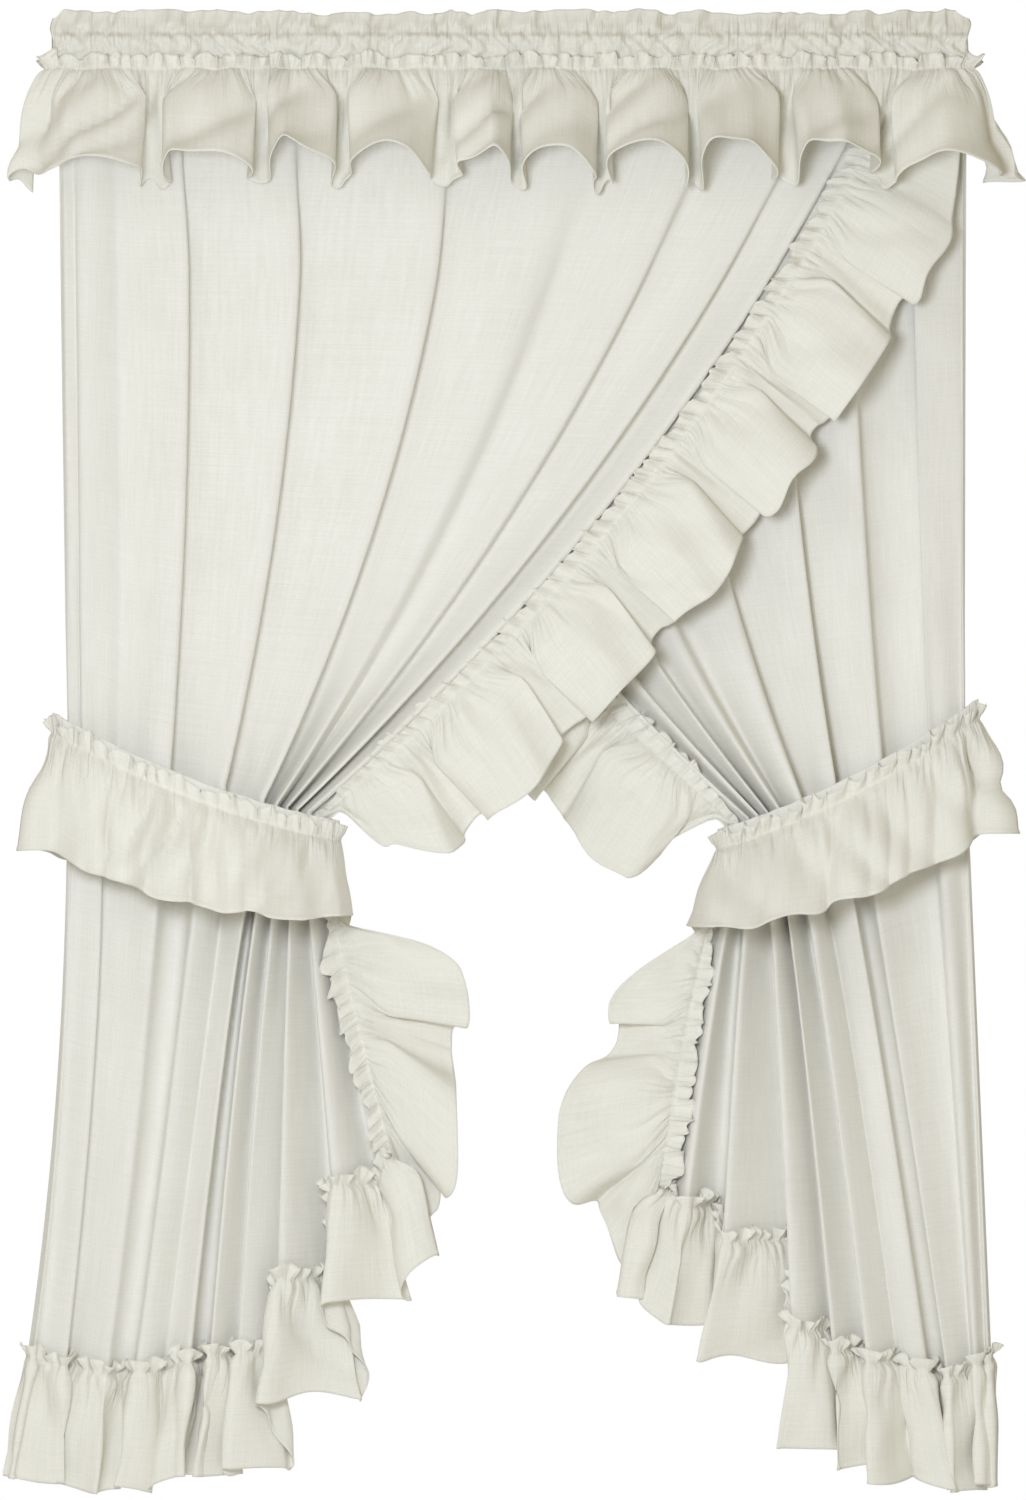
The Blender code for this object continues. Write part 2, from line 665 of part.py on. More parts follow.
def tie_ruffle_grid(tie):
    made = [[] for _ in RUFFLE_ROWS]
    for i, (place, out, turn) in enumerate(tie_path(tie)):
        inward = (place.x * tie.panel.side - tie.outer) / (tie.inner - tie.outer)
        front = ease((0.95 - out.y) / 0.5)
        flare = mix(tie.outer_flare, tie.inner_flare, ease(inward))
        angle = math.radians(mix(TIE_BACK_FLARE, flare, front))
        stand = Vector((out.x * mix(1.0, tie.nose, inward), out.y, 0))
        wave = math.cos(2 * math.pi * (turn * TIE_FLUTES + 0.3 * math.sin(5 * turn)))
        flip = 1 if i % 2 else -1
        for rank, r in enumerate(RUFFLE_ROWS):
            here = place + out * (CLOTH + SEAM_GAP) - Vector((0, 0, TIE_GATHER_DROP))
            if r < 0:
                here += Vector((0, 0, TIE_FRILL + SCALLOP_RISE * flip))
                here += out * SCALLOP_LIFT * (1 + SCALLOP_FLIP * flip)
            else:
                drop = RUFFLE_DROP * r
                here += stand * (drop * math.sin(angle) + TIE_FLUTE_DEPTH * wave * r)
                here -= Vector((0, 0, drop * math.cos(angle)))
            made[rank].append(here)
    return made


def main():
    for thing in list(bpy.data.objects):
        bpy.data.objects.remove(thing)
    panel_cloth = material("panel_cloth", CREAM, 0.9)
    ruffle_cloth = material("ruffle_cloth", IVORY, 0.9)
    root = bpy.data.objects.new("curtains", None)
    bpy.context.scene.collection.objects.link(root)
    made = [add_heading(ruffle_cloth), add_sheet("valance_ruffle", valance_grid(), ruffle_cloth)]
    for name, panel, tie in (("left", LEFT_PANEL, LEFT_TIE), ("right", RIGHT_PANEL, RIGHT_TIE)):
        grid = panel_grid(panel)
        made.append(add_sheet(name + "_panel", grid, panel_cloth))
        made.append(add_sheet(name + "_edge_ruffle", ruffle_grid(panel, grid), ruffle_cloth))
        made.append(add_sheet(name + "_tie_band", band_grid(tie), panel_cloth))
        made.append(add_sheet(name + "_tie_ruffle", tie_ruffle_grid(tie), ruffle_cloth))
    for thing in made:
        thing.parent = root


main()
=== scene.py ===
"""Cloth, stitching and studio for a pair of priscilla curtains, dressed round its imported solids.

The curtains face -Y and hang down -Z from an empty rod pocket at the origin. Tables are in
millimetres, as a maker would note them, and every mesh is in metres.
"""

import math
from collections import namedtuple

import bmesh
import bpy
from bpy.props import FloatProperty, FloatVectorProperty, PointerProperty
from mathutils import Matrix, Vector


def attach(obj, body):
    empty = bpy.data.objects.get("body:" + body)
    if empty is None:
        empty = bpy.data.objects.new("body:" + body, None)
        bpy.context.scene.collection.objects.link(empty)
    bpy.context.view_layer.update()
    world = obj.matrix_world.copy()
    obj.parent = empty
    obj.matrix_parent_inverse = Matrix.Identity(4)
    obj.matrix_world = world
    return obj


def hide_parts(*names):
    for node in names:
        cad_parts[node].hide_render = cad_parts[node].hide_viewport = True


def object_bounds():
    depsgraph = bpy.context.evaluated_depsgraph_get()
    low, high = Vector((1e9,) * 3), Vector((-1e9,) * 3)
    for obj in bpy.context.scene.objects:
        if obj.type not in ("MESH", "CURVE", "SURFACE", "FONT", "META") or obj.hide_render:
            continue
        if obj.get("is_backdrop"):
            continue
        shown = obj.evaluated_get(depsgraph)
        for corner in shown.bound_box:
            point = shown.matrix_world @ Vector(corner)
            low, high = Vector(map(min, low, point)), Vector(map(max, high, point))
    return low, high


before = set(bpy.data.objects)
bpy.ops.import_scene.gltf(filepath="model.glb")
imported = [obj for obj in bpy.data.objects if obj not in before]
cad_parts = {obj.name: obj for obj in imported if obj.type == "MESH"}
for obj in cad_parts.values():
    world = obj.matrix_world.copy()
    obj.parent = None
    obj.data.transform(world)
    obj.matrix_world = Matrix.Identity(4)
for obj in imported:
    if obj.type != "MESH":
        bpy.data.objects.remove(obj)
CAD_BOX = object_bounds()

bl_info = {
    "name": "Priscilla curtains",
    "version": (1, 0, 0),
    "blender": (4, 5, 0),
    "location": "3D View > Sidebar > Curtains",
    "description": "Builds a crossed, ruffled pair of curtains and the studio they are shown in",
    "category": "Object",
}

MM = 0.001
TURN = 2 * math.pi

# Sewing: the gap a seam keeps to the cloth under it, and a ruffle's drop and narrow heading
CLOTH = 1.2
SEAM_GAP = 0.6
RUFFLE_DROP = 127.0
RUFFLE_HEADING = 13.0

# A wave along a seam: how high its crests are, how far apart, and its phase
Wave = namedtuple("Wave", "height pitch phase")

# Crests are never even. They wander from their places, by so many radians and so often, and some
# are lower, by a share and so often. Rounded ridges have a crease this wide between them.
WANDERS = ((1.9, 0.117), (1.1, 0.263))
WAVES_LOWER, RIDGES_LOWER = (0.28, 0.31), (0.3, 0.37)
RIDGE_CREASE = 0.02

# Heading: a frill above a pocket for a flat rod, closed by a seam the rest hangs from
HEAD_LEFT, HEAD_RIGHT = -497.0, 488.0
POCKET_TOP, POCKET_BOTTOM = 16.5, -17.0
POCKET_HALF_DEPTH = 8.0
POCKET_FRONT = 10.6
POCKET_SEAM, POCKET_CORNER, POCKET_TAPER = 1.0, 3.0, 5.0
SEAM_BOTTOM = -21.5
FRILL_TOP = 40.0
FRILL_END_DROP = 9.0
FRILL_HALF_THICKNESS = 1.2
FRILL_PUFF = 5.6
HEADING_ROWS, HEADING_STEPS = 33, 560
HEADING_STITCHED = (POCKET_TOP + 3.0, SEAM_BOTTOM + 1.5)
HEADING_FULLNESS, HEADING_DOUBLED = 1.6, 2.0
SHOULDER = 6.0
PANEL_TOP = SEAM_BOTTOM - SEAM_GAP

# The frill's upper edge, bows and folds, the pocket's puckers, and how far from the heading's ends
# the frill is lower, straighter and crumpled
FRILL_EDGE = (Wave(2.2, 67.0, 0.9), Wave(0.8, 23.0, 2.0))
FRILL_BOWS = (Wave(5.6, 54.0, 0.4), Wave(3.0, 23.0, 2.7))
FRILL_FOLD, FRILL_GATHER = Wave(1.2, 27.0, 1.4), Wave(2.6, 12.0, 2.4)
POCKET_UPRIGHT, POCKET_SLANTING = Wave(2.9, 16.0, 1.9), Wave(2.6, 19.0, 0.8)
POCKET_SWELL = Wave(2.4, 33.0, 0.3)
POCKET_PROUD, POCKET_DENT = 1.4, 1.6
FRILL_SLIDE, FRILL_GATHER_REACH = Wave(1.6, 19.0, 1.0), 7.0
END_LOWER, END_STRAIGHT, END_CRUMPLED, END_CRUMPLE = 12, 28, 40, 3.0

# The heights from which the heading's parts take shape, and how far above or below they have it
Rise = namedtuple("Rise", "start reach")
POCKET_OPENS, POCKET_CLOSES = Rise(SEAM_BOTTOM, 6.0), Rise(POCKET_TOP + 2.5, -8.0)
POCKET_CRINKLES = Rise(SEAM_BOTTOM + 2, 14.0)
FRILL_NARROWS, FRILL_MOVES = Rise(POCKET_TOP - 1, 4.0), Rise(POCKET_TOP + 1, 10)

# Folds of a panel, from its outer edge to its leading edge. The places across are for a panel
# that is tied back on the left: at the heading, at the tie and at the hem. Drop is the height of
# the hem seam, sag bows the cloth between heading and tie. Belly, waist and skirt are the depths
# above, in and below the tie. A lean over 1 laps a fold over its neighbour.
Fold = namedtuple("Fold", "head tie hem drop sag belly waist skirt lean_above lean_below")

LEFT_FOLDS = (
    Fold(-490, -480, -524, -1409, 0, -6, -3, -9, 0.0, 0.0),
    Fold(-462, -456, -494, -1417, 2, 8, 8, 11, -0.9, 1.4),
    Fold(-384, -388, -446, -1426, 9, 13, 15, 9, 1.45, 0.7),
    Fold(-273, -326, -398, -1424, 20, 14, 20, 11, 1.5, -0.8),
    Fold(-102, -276, -356, -1412, 38, 15, 21, 14, 1.5, 0.9),
    Fold(60, -256, -318, -1406, 42, 6, 19, 15, 0.5, -1.3),
    Fold(205, -245, -288, -1402, 42, 11, 18, 12, 1.0, -1.2),
    Fold(322, -235, -238, -1324, 44, 12, 16, 22, 1.3, -1.5),
    Fold(390, -222, -177, -1222, 50, 10, 11, 22, 1.3, -1.5),
    Fold(424, -206, -131, -1190, 55, 0, 2, 5, 0.0, 0.0),
)

RIGHT_FOLDS = (
    Fold(-488, -486, -514, -1407, 0, -5, -3, -8, 0.0, 0.0),
    Fold(-456, -466, -500, -1416, 2, 7, 8, 10, 1.4, 0.8),
    Fold(-330, -378, -474, -1428, 8, 12, 15, 9, -1.2, 1.2),
    Fold(-252, -336, -436, -1424, 18, 12, 19, 12, -1.5, -1.2),
    Fold(-90, -302, -392, -1414, 34, 14, 20, 15, -1.3, 1.4),
    Fold(70, -282, -352, -1402, 40, 7, 19, 14, -0.6, 1.5),
    Fold(190, -270, -318, -1380, 40, 11, 18, 20, -1.2, 1.5),
    Fold(300, -260, -243, -1284, 44, 11, 15, 22, -1.2, 1.5),
    Fold(366, -250, -186, -1246, 50, 9, 11, 18, -1.0, 0.2),
    Fold(396, -236, -156, -1226, 55, 0, 2, 4, 0.0, 0.0),
)

# A panel, as the solids have it, and the phase of its small creases
Panel = namedtuple(
    "Panel",
    "side folds middle hem_step spread tie_high tie_low opening_above opening_below fall "
    "flute_start phase",
)
LEFT_PANEL = Panel(
    side=1,
    folds=LEFT_FOLDS,
    middle=((0, -5.5), (0.16, -14), (0.4, -20), (0.82, -20), (1, -8), (2, -8), (3, -3)),
    hem_step=(0.48, 0.98),
    spread=(2.2, 0.7, 1.2),
    tie_high=-738.0,
    tie_low=-842.0,
    opening_above=((32, 0), (66, 0.5), (100, 1)),
    opening_below=((98, 0), (138, 1)),
    fall=((0, 0.15), (2.33, 0.2), (2.56, 0.65), (2.85, 1.6), (3, 3.2)),
    flute_start=(-52.0, 23.0),
    phase=0.0,
)
RIGHT_PANEL = Panel(
    side=-1,
    folds=RIGHT_FOLDS,
    middle=((0, 5.5), (0.16, 14), (0.4, 18), (0.86, 18), (1, 8), (2, 8), (3, 3)),
    hem_step=(0.02, 0.52),
    spread=(1.0, 0.75, 0.7),
    tie_high=-724.0,
    tie_low=-850.0,
    opening_above=((32, 0), (66, 0.5), (100, 1)),
    opening_below=((98, 0), (175, 0.66), (225, 0.6), (290, 1)),
    fall=((0, 0.3), (2, 0.2), (2.72, 0.25), (2.86, 1.2), (3, 3.6)),
    flute_start=(53.0, 53.0),
    phase=2.1,
)

# Stations down a panel: 0 at the heading, 1 to 2 inside the tie, 3 at the hem seam, and how many
# rows of cloth there are between them
PANEL_ROWS = ((0, 1, 84), (1, 2, 6), (2, 3, 72))
TIE_STATION, HEM_STATION = 1.5, 3
POINTS_PER_FOLD = 22

# Where along and down a panel its folds flatten, grow, lean and take their depth at the tie
EDGE_FLAT, OUTER_FLAT = 0.55, 0.3
BELLY_GROWS = ((0, 0.3), (0.38, 1.0))
LEAN_GROWS = ((0, 0.35), (0.3, 1.0))
WAIST_STARTS, SKIRT_REACH = 0.72, 0.55
LEAN_CHANGES = 1.2
WAIST_HALF_HEIGHT = 17.0

# Small creases of a panel: how deep they are, how many broad and narrow ones there are to a fold,
# what share of the broad ones' depth the narrow ones have, and over how many stations they fade
Crease = namedtuple("Crease", "depth broad narrow share above below")
UNDER_HEADING = Crease(1.3, 4.3, 7.1, 0.6, 0.0, 0.07)
INTO_TIE = Crease(1.1, 3.1, 5.3, 0.5, 0.16, 0.2)
STREAKS = Crease(1.0, 1.37, 2.21, 0.6, 0.2, 0.0)
CREASE_WANDER = 0.35

# Edge ruffles: the spans of their uneven flutes along the stitching, and how the flutes stand
FLUTE_SPANS = (150, 124, 142, 118, 146, 131)
FLUTE_DEPTH, FLUTE_LEAN = 24.0, 8.0
FLUTE_RECESS, FLUTE_WIDE, FLUTE_BIAS = 0.1, 1.6, 0.45
RUFFLE_STEP = 1.6
EDGE_FACING = 1.0
EDGE_BILLOW, HEM_BILLOW = 3.6, 7.0

# Half a flute in equal shares of its cloth, from a valley to the crest and one share past it: how
# far across it the cloth lies under the gathers and at the hem, and how far out it stands
Pleat = namedtuple("Pleat", "narrow wide out")
PLEAT = (
    Pleat(0.0, 0.0, 0.0),
    Pleat(0.07, 0.12, 0.06),
    Pleat(0.05, 0.1, 0.56),
    Pleat(0.24, 0.27, 0.88),
    Pleat(0.5, 0.5, 1.0),
    Pleat(0.76, 0.73, 0.88),
)
PLEAT_REACH = 0.35

# How an edge ruffle is held in at bends, at the corner, inside the tie and at its top, and how it
# swings out and is eased along the hem
MITRE_LIMIT, RUN_REACH = 0.15, 3
CORNER_REACH, CORNER_TRIM, TRIM_REACH = 60.0, 0.2, 1.2
TIE_SQUEEZE, TUCK_LEAST, OPEN_LEAST = 0.07, 0.3, 0.25
CLEARED_LEAST = 0.05
VALLEY_SHARE, HEADING_ROOM, FRILL_LEAST = 0.67, 0.55, 16.0
HEM_BELL, HEM_EASE = 1.4, 1.6
TOP_DROP, TOP_REACH = 0.5, 0.14
TOP_OPEN, TOP_FREE = 0.05, 0.3

# Rows of a ruffle, from the top of its narrow heading through the seam at 0 to the hem at 1
RUFFLE_ROWS = (-1, -0.8, -0.55, -0.3, -0.12, 0, 0.015, 0.035, 0.06, 0.09, 0.13, 0.18, 0.24)
RUFFLE_ROWS += (0.31, 0.39, 0.47, 0.55, 0.63, 0.71, 0.79, 0.86, 0.92, 0.962, 0.97, 1.0)
SEAM_ROW = RUFFLE_ROWS.index(0)
HEM_ROWS = [j for j, r in enumerate(RUFFLE_ROWS) if r > 0.965]

# How much longer and shorter an edge ruffle is along its hem, as a share of its drop
RUFFLE_HEM = Wave(0.042, 61.0, 0.5)

# Curls of a ruffle's narrow heading. It leans out, in radians, stands higher than it was cut, and
# its edge slides to and fro. The waves' pitches are counted in curls.
CURL_LEAN, CURL_STRETCH, CURL_SLIDE = 0.5, 1.2, 4.2
CURL_LEANS_BY, CURL_GROWS = 0.5, 0.8
CURL_WANDER = Wave(0.4, 2.7, 0)
CURL_WAVES = (Wave(6.6, 1.0, 0), Wave(1.7, 1 / 2.3, 2))
CURL_TALLER = (Wave(0.22, 2.7, 1), Wave(0.16, 0.83, 5))

# Folds of a gathered strip, from its seam down, with height and pitch in the cloth's own gathers.
# A fold drifts along the seam by its slant, in millimetres, and stands a little proud. It grows
# over one share of the drop, holds up to the next and fades over the last.
Gather = namedtuple("Gather", "height pitch slant proud grows holds fades phase")
PUCKER = Gather(0.75, 1.0, 4.0, 0.8, 0.04, 0.0, 0.15, 0)
SOFT_FOLD = Gather(1.0, 2.3, 14.0, 0.4, 0.1, 0.12, 0.28, 2)
DRAG_FOLD = Gather(1.6, 5.6, 40.0, 0.0, 0.3, 0.45, 0.4, 3)
DRAG_SLANT = 15.0

# Billows below the gathers, which move sideways as they swell
Billow = namedtuple("Billow", "pitch slant sideways grows phase")
BROAD = Billow(3.9, -8.0, 0.6, 0.55, 1)
WIDE = Billow(8.0, 0.0, 0.7, 0.8, 4)

# A gathered piece: its phase, the height of its billows, and the strength of its drag folds
Gathered = namedtuple("Gathered", "phase broad wide drag")

# Valance: where each flute of the ruffle starts, where along it the crest is, and its flare
VALANCE_RIGHT = 494.0
VALANCE_SEAM = -22.5
VALANCE_FRONT = -(POCKET_FRONT + 0.9 + CLOTH / 2 + 0.3)
VALANCE_BACK = 22.0
VALANCE_CORNER = 12.0
Flute = namedtuple("Flute", "left crest flare")
VALANCE_FLUTES = (
    Flute(-504, 0.47, 38),
    Flute(-386, 0.62, 44),
    Flute(-271, 0.34, 50),
    Flute(-182, 0.40, 46),
    Flute(-71, 0.66, 45),
    Flute(2, 0.36, 43),
    Flute(95, 0.58, 46),
    Flute(191, 0.36, 50),
    Flute(291, 0.40, 52),
    Flute(396, 0.66, 42),
)
VALLEY_FLARE = 9.0
VALANCE_TOP_FLARE = 0.8
VALANCE_TURN, CORNER_TURN = 36.0, 0.6
SIDE_FLARE = 21.0
BACK_FLARE = 4.0
VALANCE_STEPS, VALANCE_END_STEPS = 76, 10

# How the valance is gathered, stitched on and swung to and fro, and how its hem rises and falls
VALANCE_GATHERED = Gathered(0.7, 3.6, 0.0, 2.1)
VALANCE_STITCHED = Wave(1.6, 57.0, 2.2)
VALANCE_SWAY, VALANCE_LAG = Wave(4.0, 83.0, 1.1), 20.0
VALANCE_SLIDE = Wave(5.0, 71.0, 2.6)
VALANCE_HEM, VALANCE_TIPS = Wave(5.0, 97.0, 4.0), Wave(7.5, 31.0, 1.9)

# Tiebacks: a plain band round the gathered cloth, with a ruffle sewn to its middle
TieBack = namedtuple("TieBack", "panel outer inner depth outer_flare inner_flare nose")
LEFT_TIE = TieBack(LEFT_PANEL, -496.0, -188.0, 24.3, 12.0, 46.0, 0.15)
RIGHT_TIE = TieBack(RIGHT_PANEL, -500.0, -220.0, 23.0, 18.0, 44.0, 0.38)
TIE_BAND, TIE_SAG = 30.0, 11.0
TIE_SQUARENESS = 2.6
TIE_OPEN_DEG = 5.0
TIE_STEPS = 520
TIE_BACK_FLARE = 8.0
TIE_FRONT, TIE_FRONT_REACH = 0.95, 0.5

# The ruffle of a tieback: its seam, heading, flutes and gathers, and the lift of its inner end
TIE_GATHER_DROP = 7.0
TIE_FRILL, TIE_FRILL_LEAN = 16.0, 0.8
TIE_FLUTES, TIE_FLUTE_DEPTH, TIE_FLUTE_WANDER = 8, 7.0, 0.3
TIE_GATHERED = Gathered(0.4, 3.6, 6.0, 1.8)
TIE_HEM = Wave(0.03, 67.0, 0.5)
NOSE_START, NOSE_LIFT = 0.86, 0.09

# Rows of a tieback's band, from its upper edge at -1 to its lower edge at 1, and how far each is
# turned in
BandRow = namedtuple("BandRow", "height inset")
BAND_ROWS = (
    BandRow(-1.0, 0.35),
    BandRow(-0.94, 0.0),
    BandRow(-0.5, -0.1),
    BandRow(0.0, -0.15),
    BandRow(0.5, -0.1),
    BandRow(0.94, 0.0),
    BandRow(1.0, 0.35),
)
BAND_EDGE_ROWS = [j for j, row in enumerate(BAND_ROWS) if abs(row.height) > 0.9]
BAND_WIDTH_WAVE = Wave(0.04, 33.0, 1.0)
BAND_PUCKERS = (Wave(0.5, 21.0, 0.6), Wave(0.4, 9.0, 2.0))

SIDES = (("left", LEFT_PANEL, LEFT_TIE), ("right", RIGHT_PANEL, RIGHT_TIE))

# Cut sizes of the cloth before it is gathered or hung, width and length in metres
VALANCE_CUT = (1.95, 0.148)
PANEL_CUT = (0.98, 1.4)
RUFFLE_CUT = (3.0, 0.148)
BAND_CUT = (0.64, 0.031)
TIE_RUFFLE_CUT = (0.98, 0.146)

# Mottling of the cloth: how often it changes in a metre across and down, and its detail
Mottle = namedtuple("Mottle", "across down detail")
WARP_SLUB = Mottle(560.0, 16.0, 2.0)
WEFT_SLUB = Mottle(16.0, 560.0, 2.0)
GRAIN = Mottle(420.0, 420.0, 3.0)
CLOUDY = Mottle(22.0, 9.0, 2.0)
FINE_CREASES = Mottle(150.0, 9.0, 1.0)
COARSE_CREASES = Mottle(62.0, 11.0, 1.0)
CROSSED_CREASES = Mottle(5.0, 2.2, 3.0)

# The deepest and palest shade of each finish, as shares of its colour
DEEP_CLOTH, PALE_CLOTH = (0.87, 0.862, 0.835), 1.05
DEEP_THREAD, DEEP_FLOOR = 0.88, 0.98

# Relief of the cloth: how strongly the weave and the pressed creases show, how deep they are, and
# how far the creases run from a gathered seam, in metres
WEAVE_SHOWS, GATHERED_SHOWS, CROSSED_SHOWS = 0.4, 0.5, 0.35
WEAVE_DEPTH, CREASE_DEPTH = 0.0004, 0.006
CREASES_RUN = {"From Min": 0.001, "From Max": 0.06, "To Min": 1.0, "To Max": 0.06}

# A Wave Texture of scale 1 has a band in every 0.314 of its length
WAVE_BAND = 0.314

# How many times as high as its thread is wide a stitch stands, half of it in the cloth
STITCH_HEIGHT = 2.4

# Soft round lamps, all turned to the middle of the curtains, in metres
Lamp = namedtuple("Lamp", "name width place")
LAMPS = (
    Lamp("front_light", 0.8, (-0.45, -3.1, -0.4)),
    Lamp("upper_light", 2.4, (-3.4, -3.6, 2.4)),
    Lamp("back_light", 2.4, (1.6, 4.2, 0.6)),
)
LAMP_COLOUR, LAMP_TARGET = (0.838, 0.89, 1.0), (0.0, 0.0, -0.75)
ROOM_COLOUR, WHITE = (1.0, 0.93, 0.73, 1.0), (1.0, 1.0, 1.0, 1.0)
FLOOR_RADIUS, FLOOR_FADES = 5.0, {"From Min": 1.2, "From Max": 4.6}

# The picture's width and height in pixels, the size of one in metres, the pixel that the rod
# pocket's middle is at, and how far the plane they are measured on is in front of it
PICTURE_WIDE, PICTURE_HIGH = 1026, 1500
PIXEL = 1.075 * MM
POCKET_ACROSS, POCKET_DOWN = 514, 48
PICTURE_PLANE = 0.01


def colour_of(name, description, default):
    """A colour that a user may change."""
    span = {"size": 3, "min": 0.0, "max": 1.0}
    return FloatVectorProperty(
        name=name, description=description, default=default, subtype="COLOR", **span
    )


def length_of(name, description, default):
    """A length in metres that a user may change."""
    return FloatProperty(name=name, description=description, default=default, unit="LENGTH")


def power_of(name, description, default):
    """A lamp's power in watts that a user may change."""
    return FloatProperty(name=name, description=description, default=default, unit="POWER")


class ClothSettings(bpy.types.PropertyGroup):
    """The cloth and how it is gathered."""

    panel_colour: colour_of("Panel colour", "Colour of the flat cloth", (0.878, 0.868, 0.818))
    ruffle_colour: colour_of("Ruffle colour", "Colour of the gathered cloth", (0.872, 0.86, 0.79))
    thickness: length_of("Thickness", "Thickness of one layer of cloth", 0.00055)
    thread_pitch: length_of("Thread pitch", "Distance from thread to thread of the weave", 0.0007)
    gather_pitch: length_of("Gather pitch", "Mean distance of the small gathers at a seam", 0.0094)
    gather_depth: length_of("Gather depth", "How far the small gathers rise from the cloth", 0.0038)
    frill_pitch: length_of("Frill pitch", "Distance between the curls of a narrow heading", 0.018)


class StitchSettings(bpy.types.PropertyGroup):
    """The machine stitching along the seams and hems."""

    pitch: length_of("Stitch pitch", "Distance from one stitch to the next", 0.0032)
    length: length_of("Stitch length", "Length of the thread that shows in one stitch", 0.0025)
    thread: length_of("Thread width", "Width of the sewing thread", 0.0005)
    colour: colour_of("Thread colour", "Colour of the sewing thread", (0.84, 0.83, 0.77))


class StudioSettings(bpy.types.PropertyGroup):
    """The floor, the light and the camera."""

    floor_colour: colour_of("Floor colour", "Colour of the plain floor", (0.9, 0.9, 0.885))
    floor_height: length_of("Floor height", "Height of the floor, from the rod pocket", -2.1)
    front_light: power_of("Front light", "Power of the soft light in front on the left", 52.5)
    upper_light: power_of("Upper light", "Power of the large soft light above on the left", 21.0)
    back_light: power_of("Back light", "Power of the large soft light behind on the right", 90.0)
    room_light: FloatProperty(
        name="Room light", description="Strength of the light from all round", default=0.44
    )
    camera_distance: length_of("Camera distance", "Distance from the camera to the curtains", 8.0)


def mix(a, b, t):
    """From a to b as t goes from 0 to 1."""
    return a + (b - a) * t


def ease(t):
    """0 up to t = 0, 1 from t = 1, smooth between."""
    t = min(1.0, max(0.0, t))
    return t * t * (3 - 2 * t)


def risen(rise, z):
    """How far a part of the heading has its shape at a height, 0 to 1."""
    return ease((z - rise.start) / rise.reach)


def spline(values, s):
    """A smooth curve through values at s = 0, 1, 2 ..."""
    last = len(values) - 1
    s = min(float(last), max(0.0, s))
    k = min(int(s), last - 1)
    t = s - k
    a, b, c, d = (values[min(last, max(0, k + i))] for i in (-1, 0, 1, 2))
    return b + 0.5 * t * (c - a + t * (2 * a - 5 * b + 4 * c - d + t * (3 * (b - c) + d - a)))


def follow(stations, w):
    """The value at w, moving smoothly from one (station, value) pair to the next."""
    for (w0, a), (w1, b) in zip(stations, stations[1:]):
        if w <= w1:
            return mix(a, b, ease((w - w0) / (w1 - w0)))
    return stations[-1][1]


def distances(places):
    """How far along a line each of its places is."""
    along = [0.0]
    for before, after in zip(places, places[1:]):
        along.append(along[-1] + (after - before).length)
    return along


def fold_value(panel, name, s):
    """The value in one column of the panel's table of folds, s folds in."""
    return spline([getattr(fold, name) for fold in panel.folds], s)


def tie_height(panel, x):
    """The tie slopes and sags from the outer edge down to the leading edge."""
    outer, inner = panel.folds[0].tie, panel.folds[-1].tie
    t = (x - outer) / (inner - outer)
    return mix(panel.tie_high, panel.tie_low, t) - TIE_SAG * 4 * t * (1 - t)


def stepped(panel, s):
    """The fold count for the hem's height, held on each front face and stepped behind it."""
    k = math.floor(s)
    low, high = panel.hem_step
    return k + ease((s - k - low) / (high - low))


def ground(panel, s, w):
    """(across, height) of the cloth before it is folded."""
    tie_x = fold_value(panel, "tie", s)
    tie_z = tie_height(panel, tie_x)
    if w <= 1:
        start = Vector((fold_value(panel, "head", s), PANEL_TOP))
        run = Vector((tie_x, tie_z + WAIST_HALF_HEIGHT)) - start
        bow = Vector((-run.y, run.x)).normalized() * 4 * w * (1 - w)
        return start + run * w + bow * fold_value(panel, "sag", s)
    if w <= 2:
        return Vector((tie_x, tie_z + WAIST_HALF_HEIGHT * (3 - 2 * w)))
    down = w - 2
    spread = down ** spline(panel.spread, 2 * s / (len(panel.folds) - 1))
    drop = fold_value(panel, "drop", stepped(panel, s))
    across = mix(tie_x, fold_value(panel, "hem", s), spread)
    return Vector((across, mix(tie_z - WAIST_HALF_HEIGHT, drop, down)))


def fold_depth(panel, s, w):
    """Half the depth of the folds, flattened where the edge ruffle is sewn on."""
    edge = ease((len(panel.folds) - 1 - s) / EDGE_FLAT)
    waist = fold_value(panel, "waist", s)
    if w <= 1:
        belly = fold_value(panel, "belly", s) * follow(BELLY_GROWS, w)
        return edge * mix(belly, waist, ease((w - WAIST_STARTS) / (1 - WAIST_STARTS)))
    return edge * mix(waist, fold_value(panel, "skirt", s), ease((w - 2) / SKIRT_REACH))


def fold_lean(panel, s, w):
    """How far a fold laps over its neighbour, changing sides round the tie."""
    above = fold_value(panel, "lean_above", s) * follow(LEAN_GROWS, w)
    below = fold_value(panel, "lean_below", s)
    return mix(above, below, ease((w - LEAN_CHANGES) / LEAN_CHANGES))


def crease(kind, s, shift, lead=0.0, narrow_lead=0.0):
    """One kind of small crease, s folds in."""
    broad = math.sin(TURN * (kind.broad * s + shift) + lead)
    return kind.depth * (broad + kind.share * math.sin(TURN * kind.narrow * s + narrow_lead))


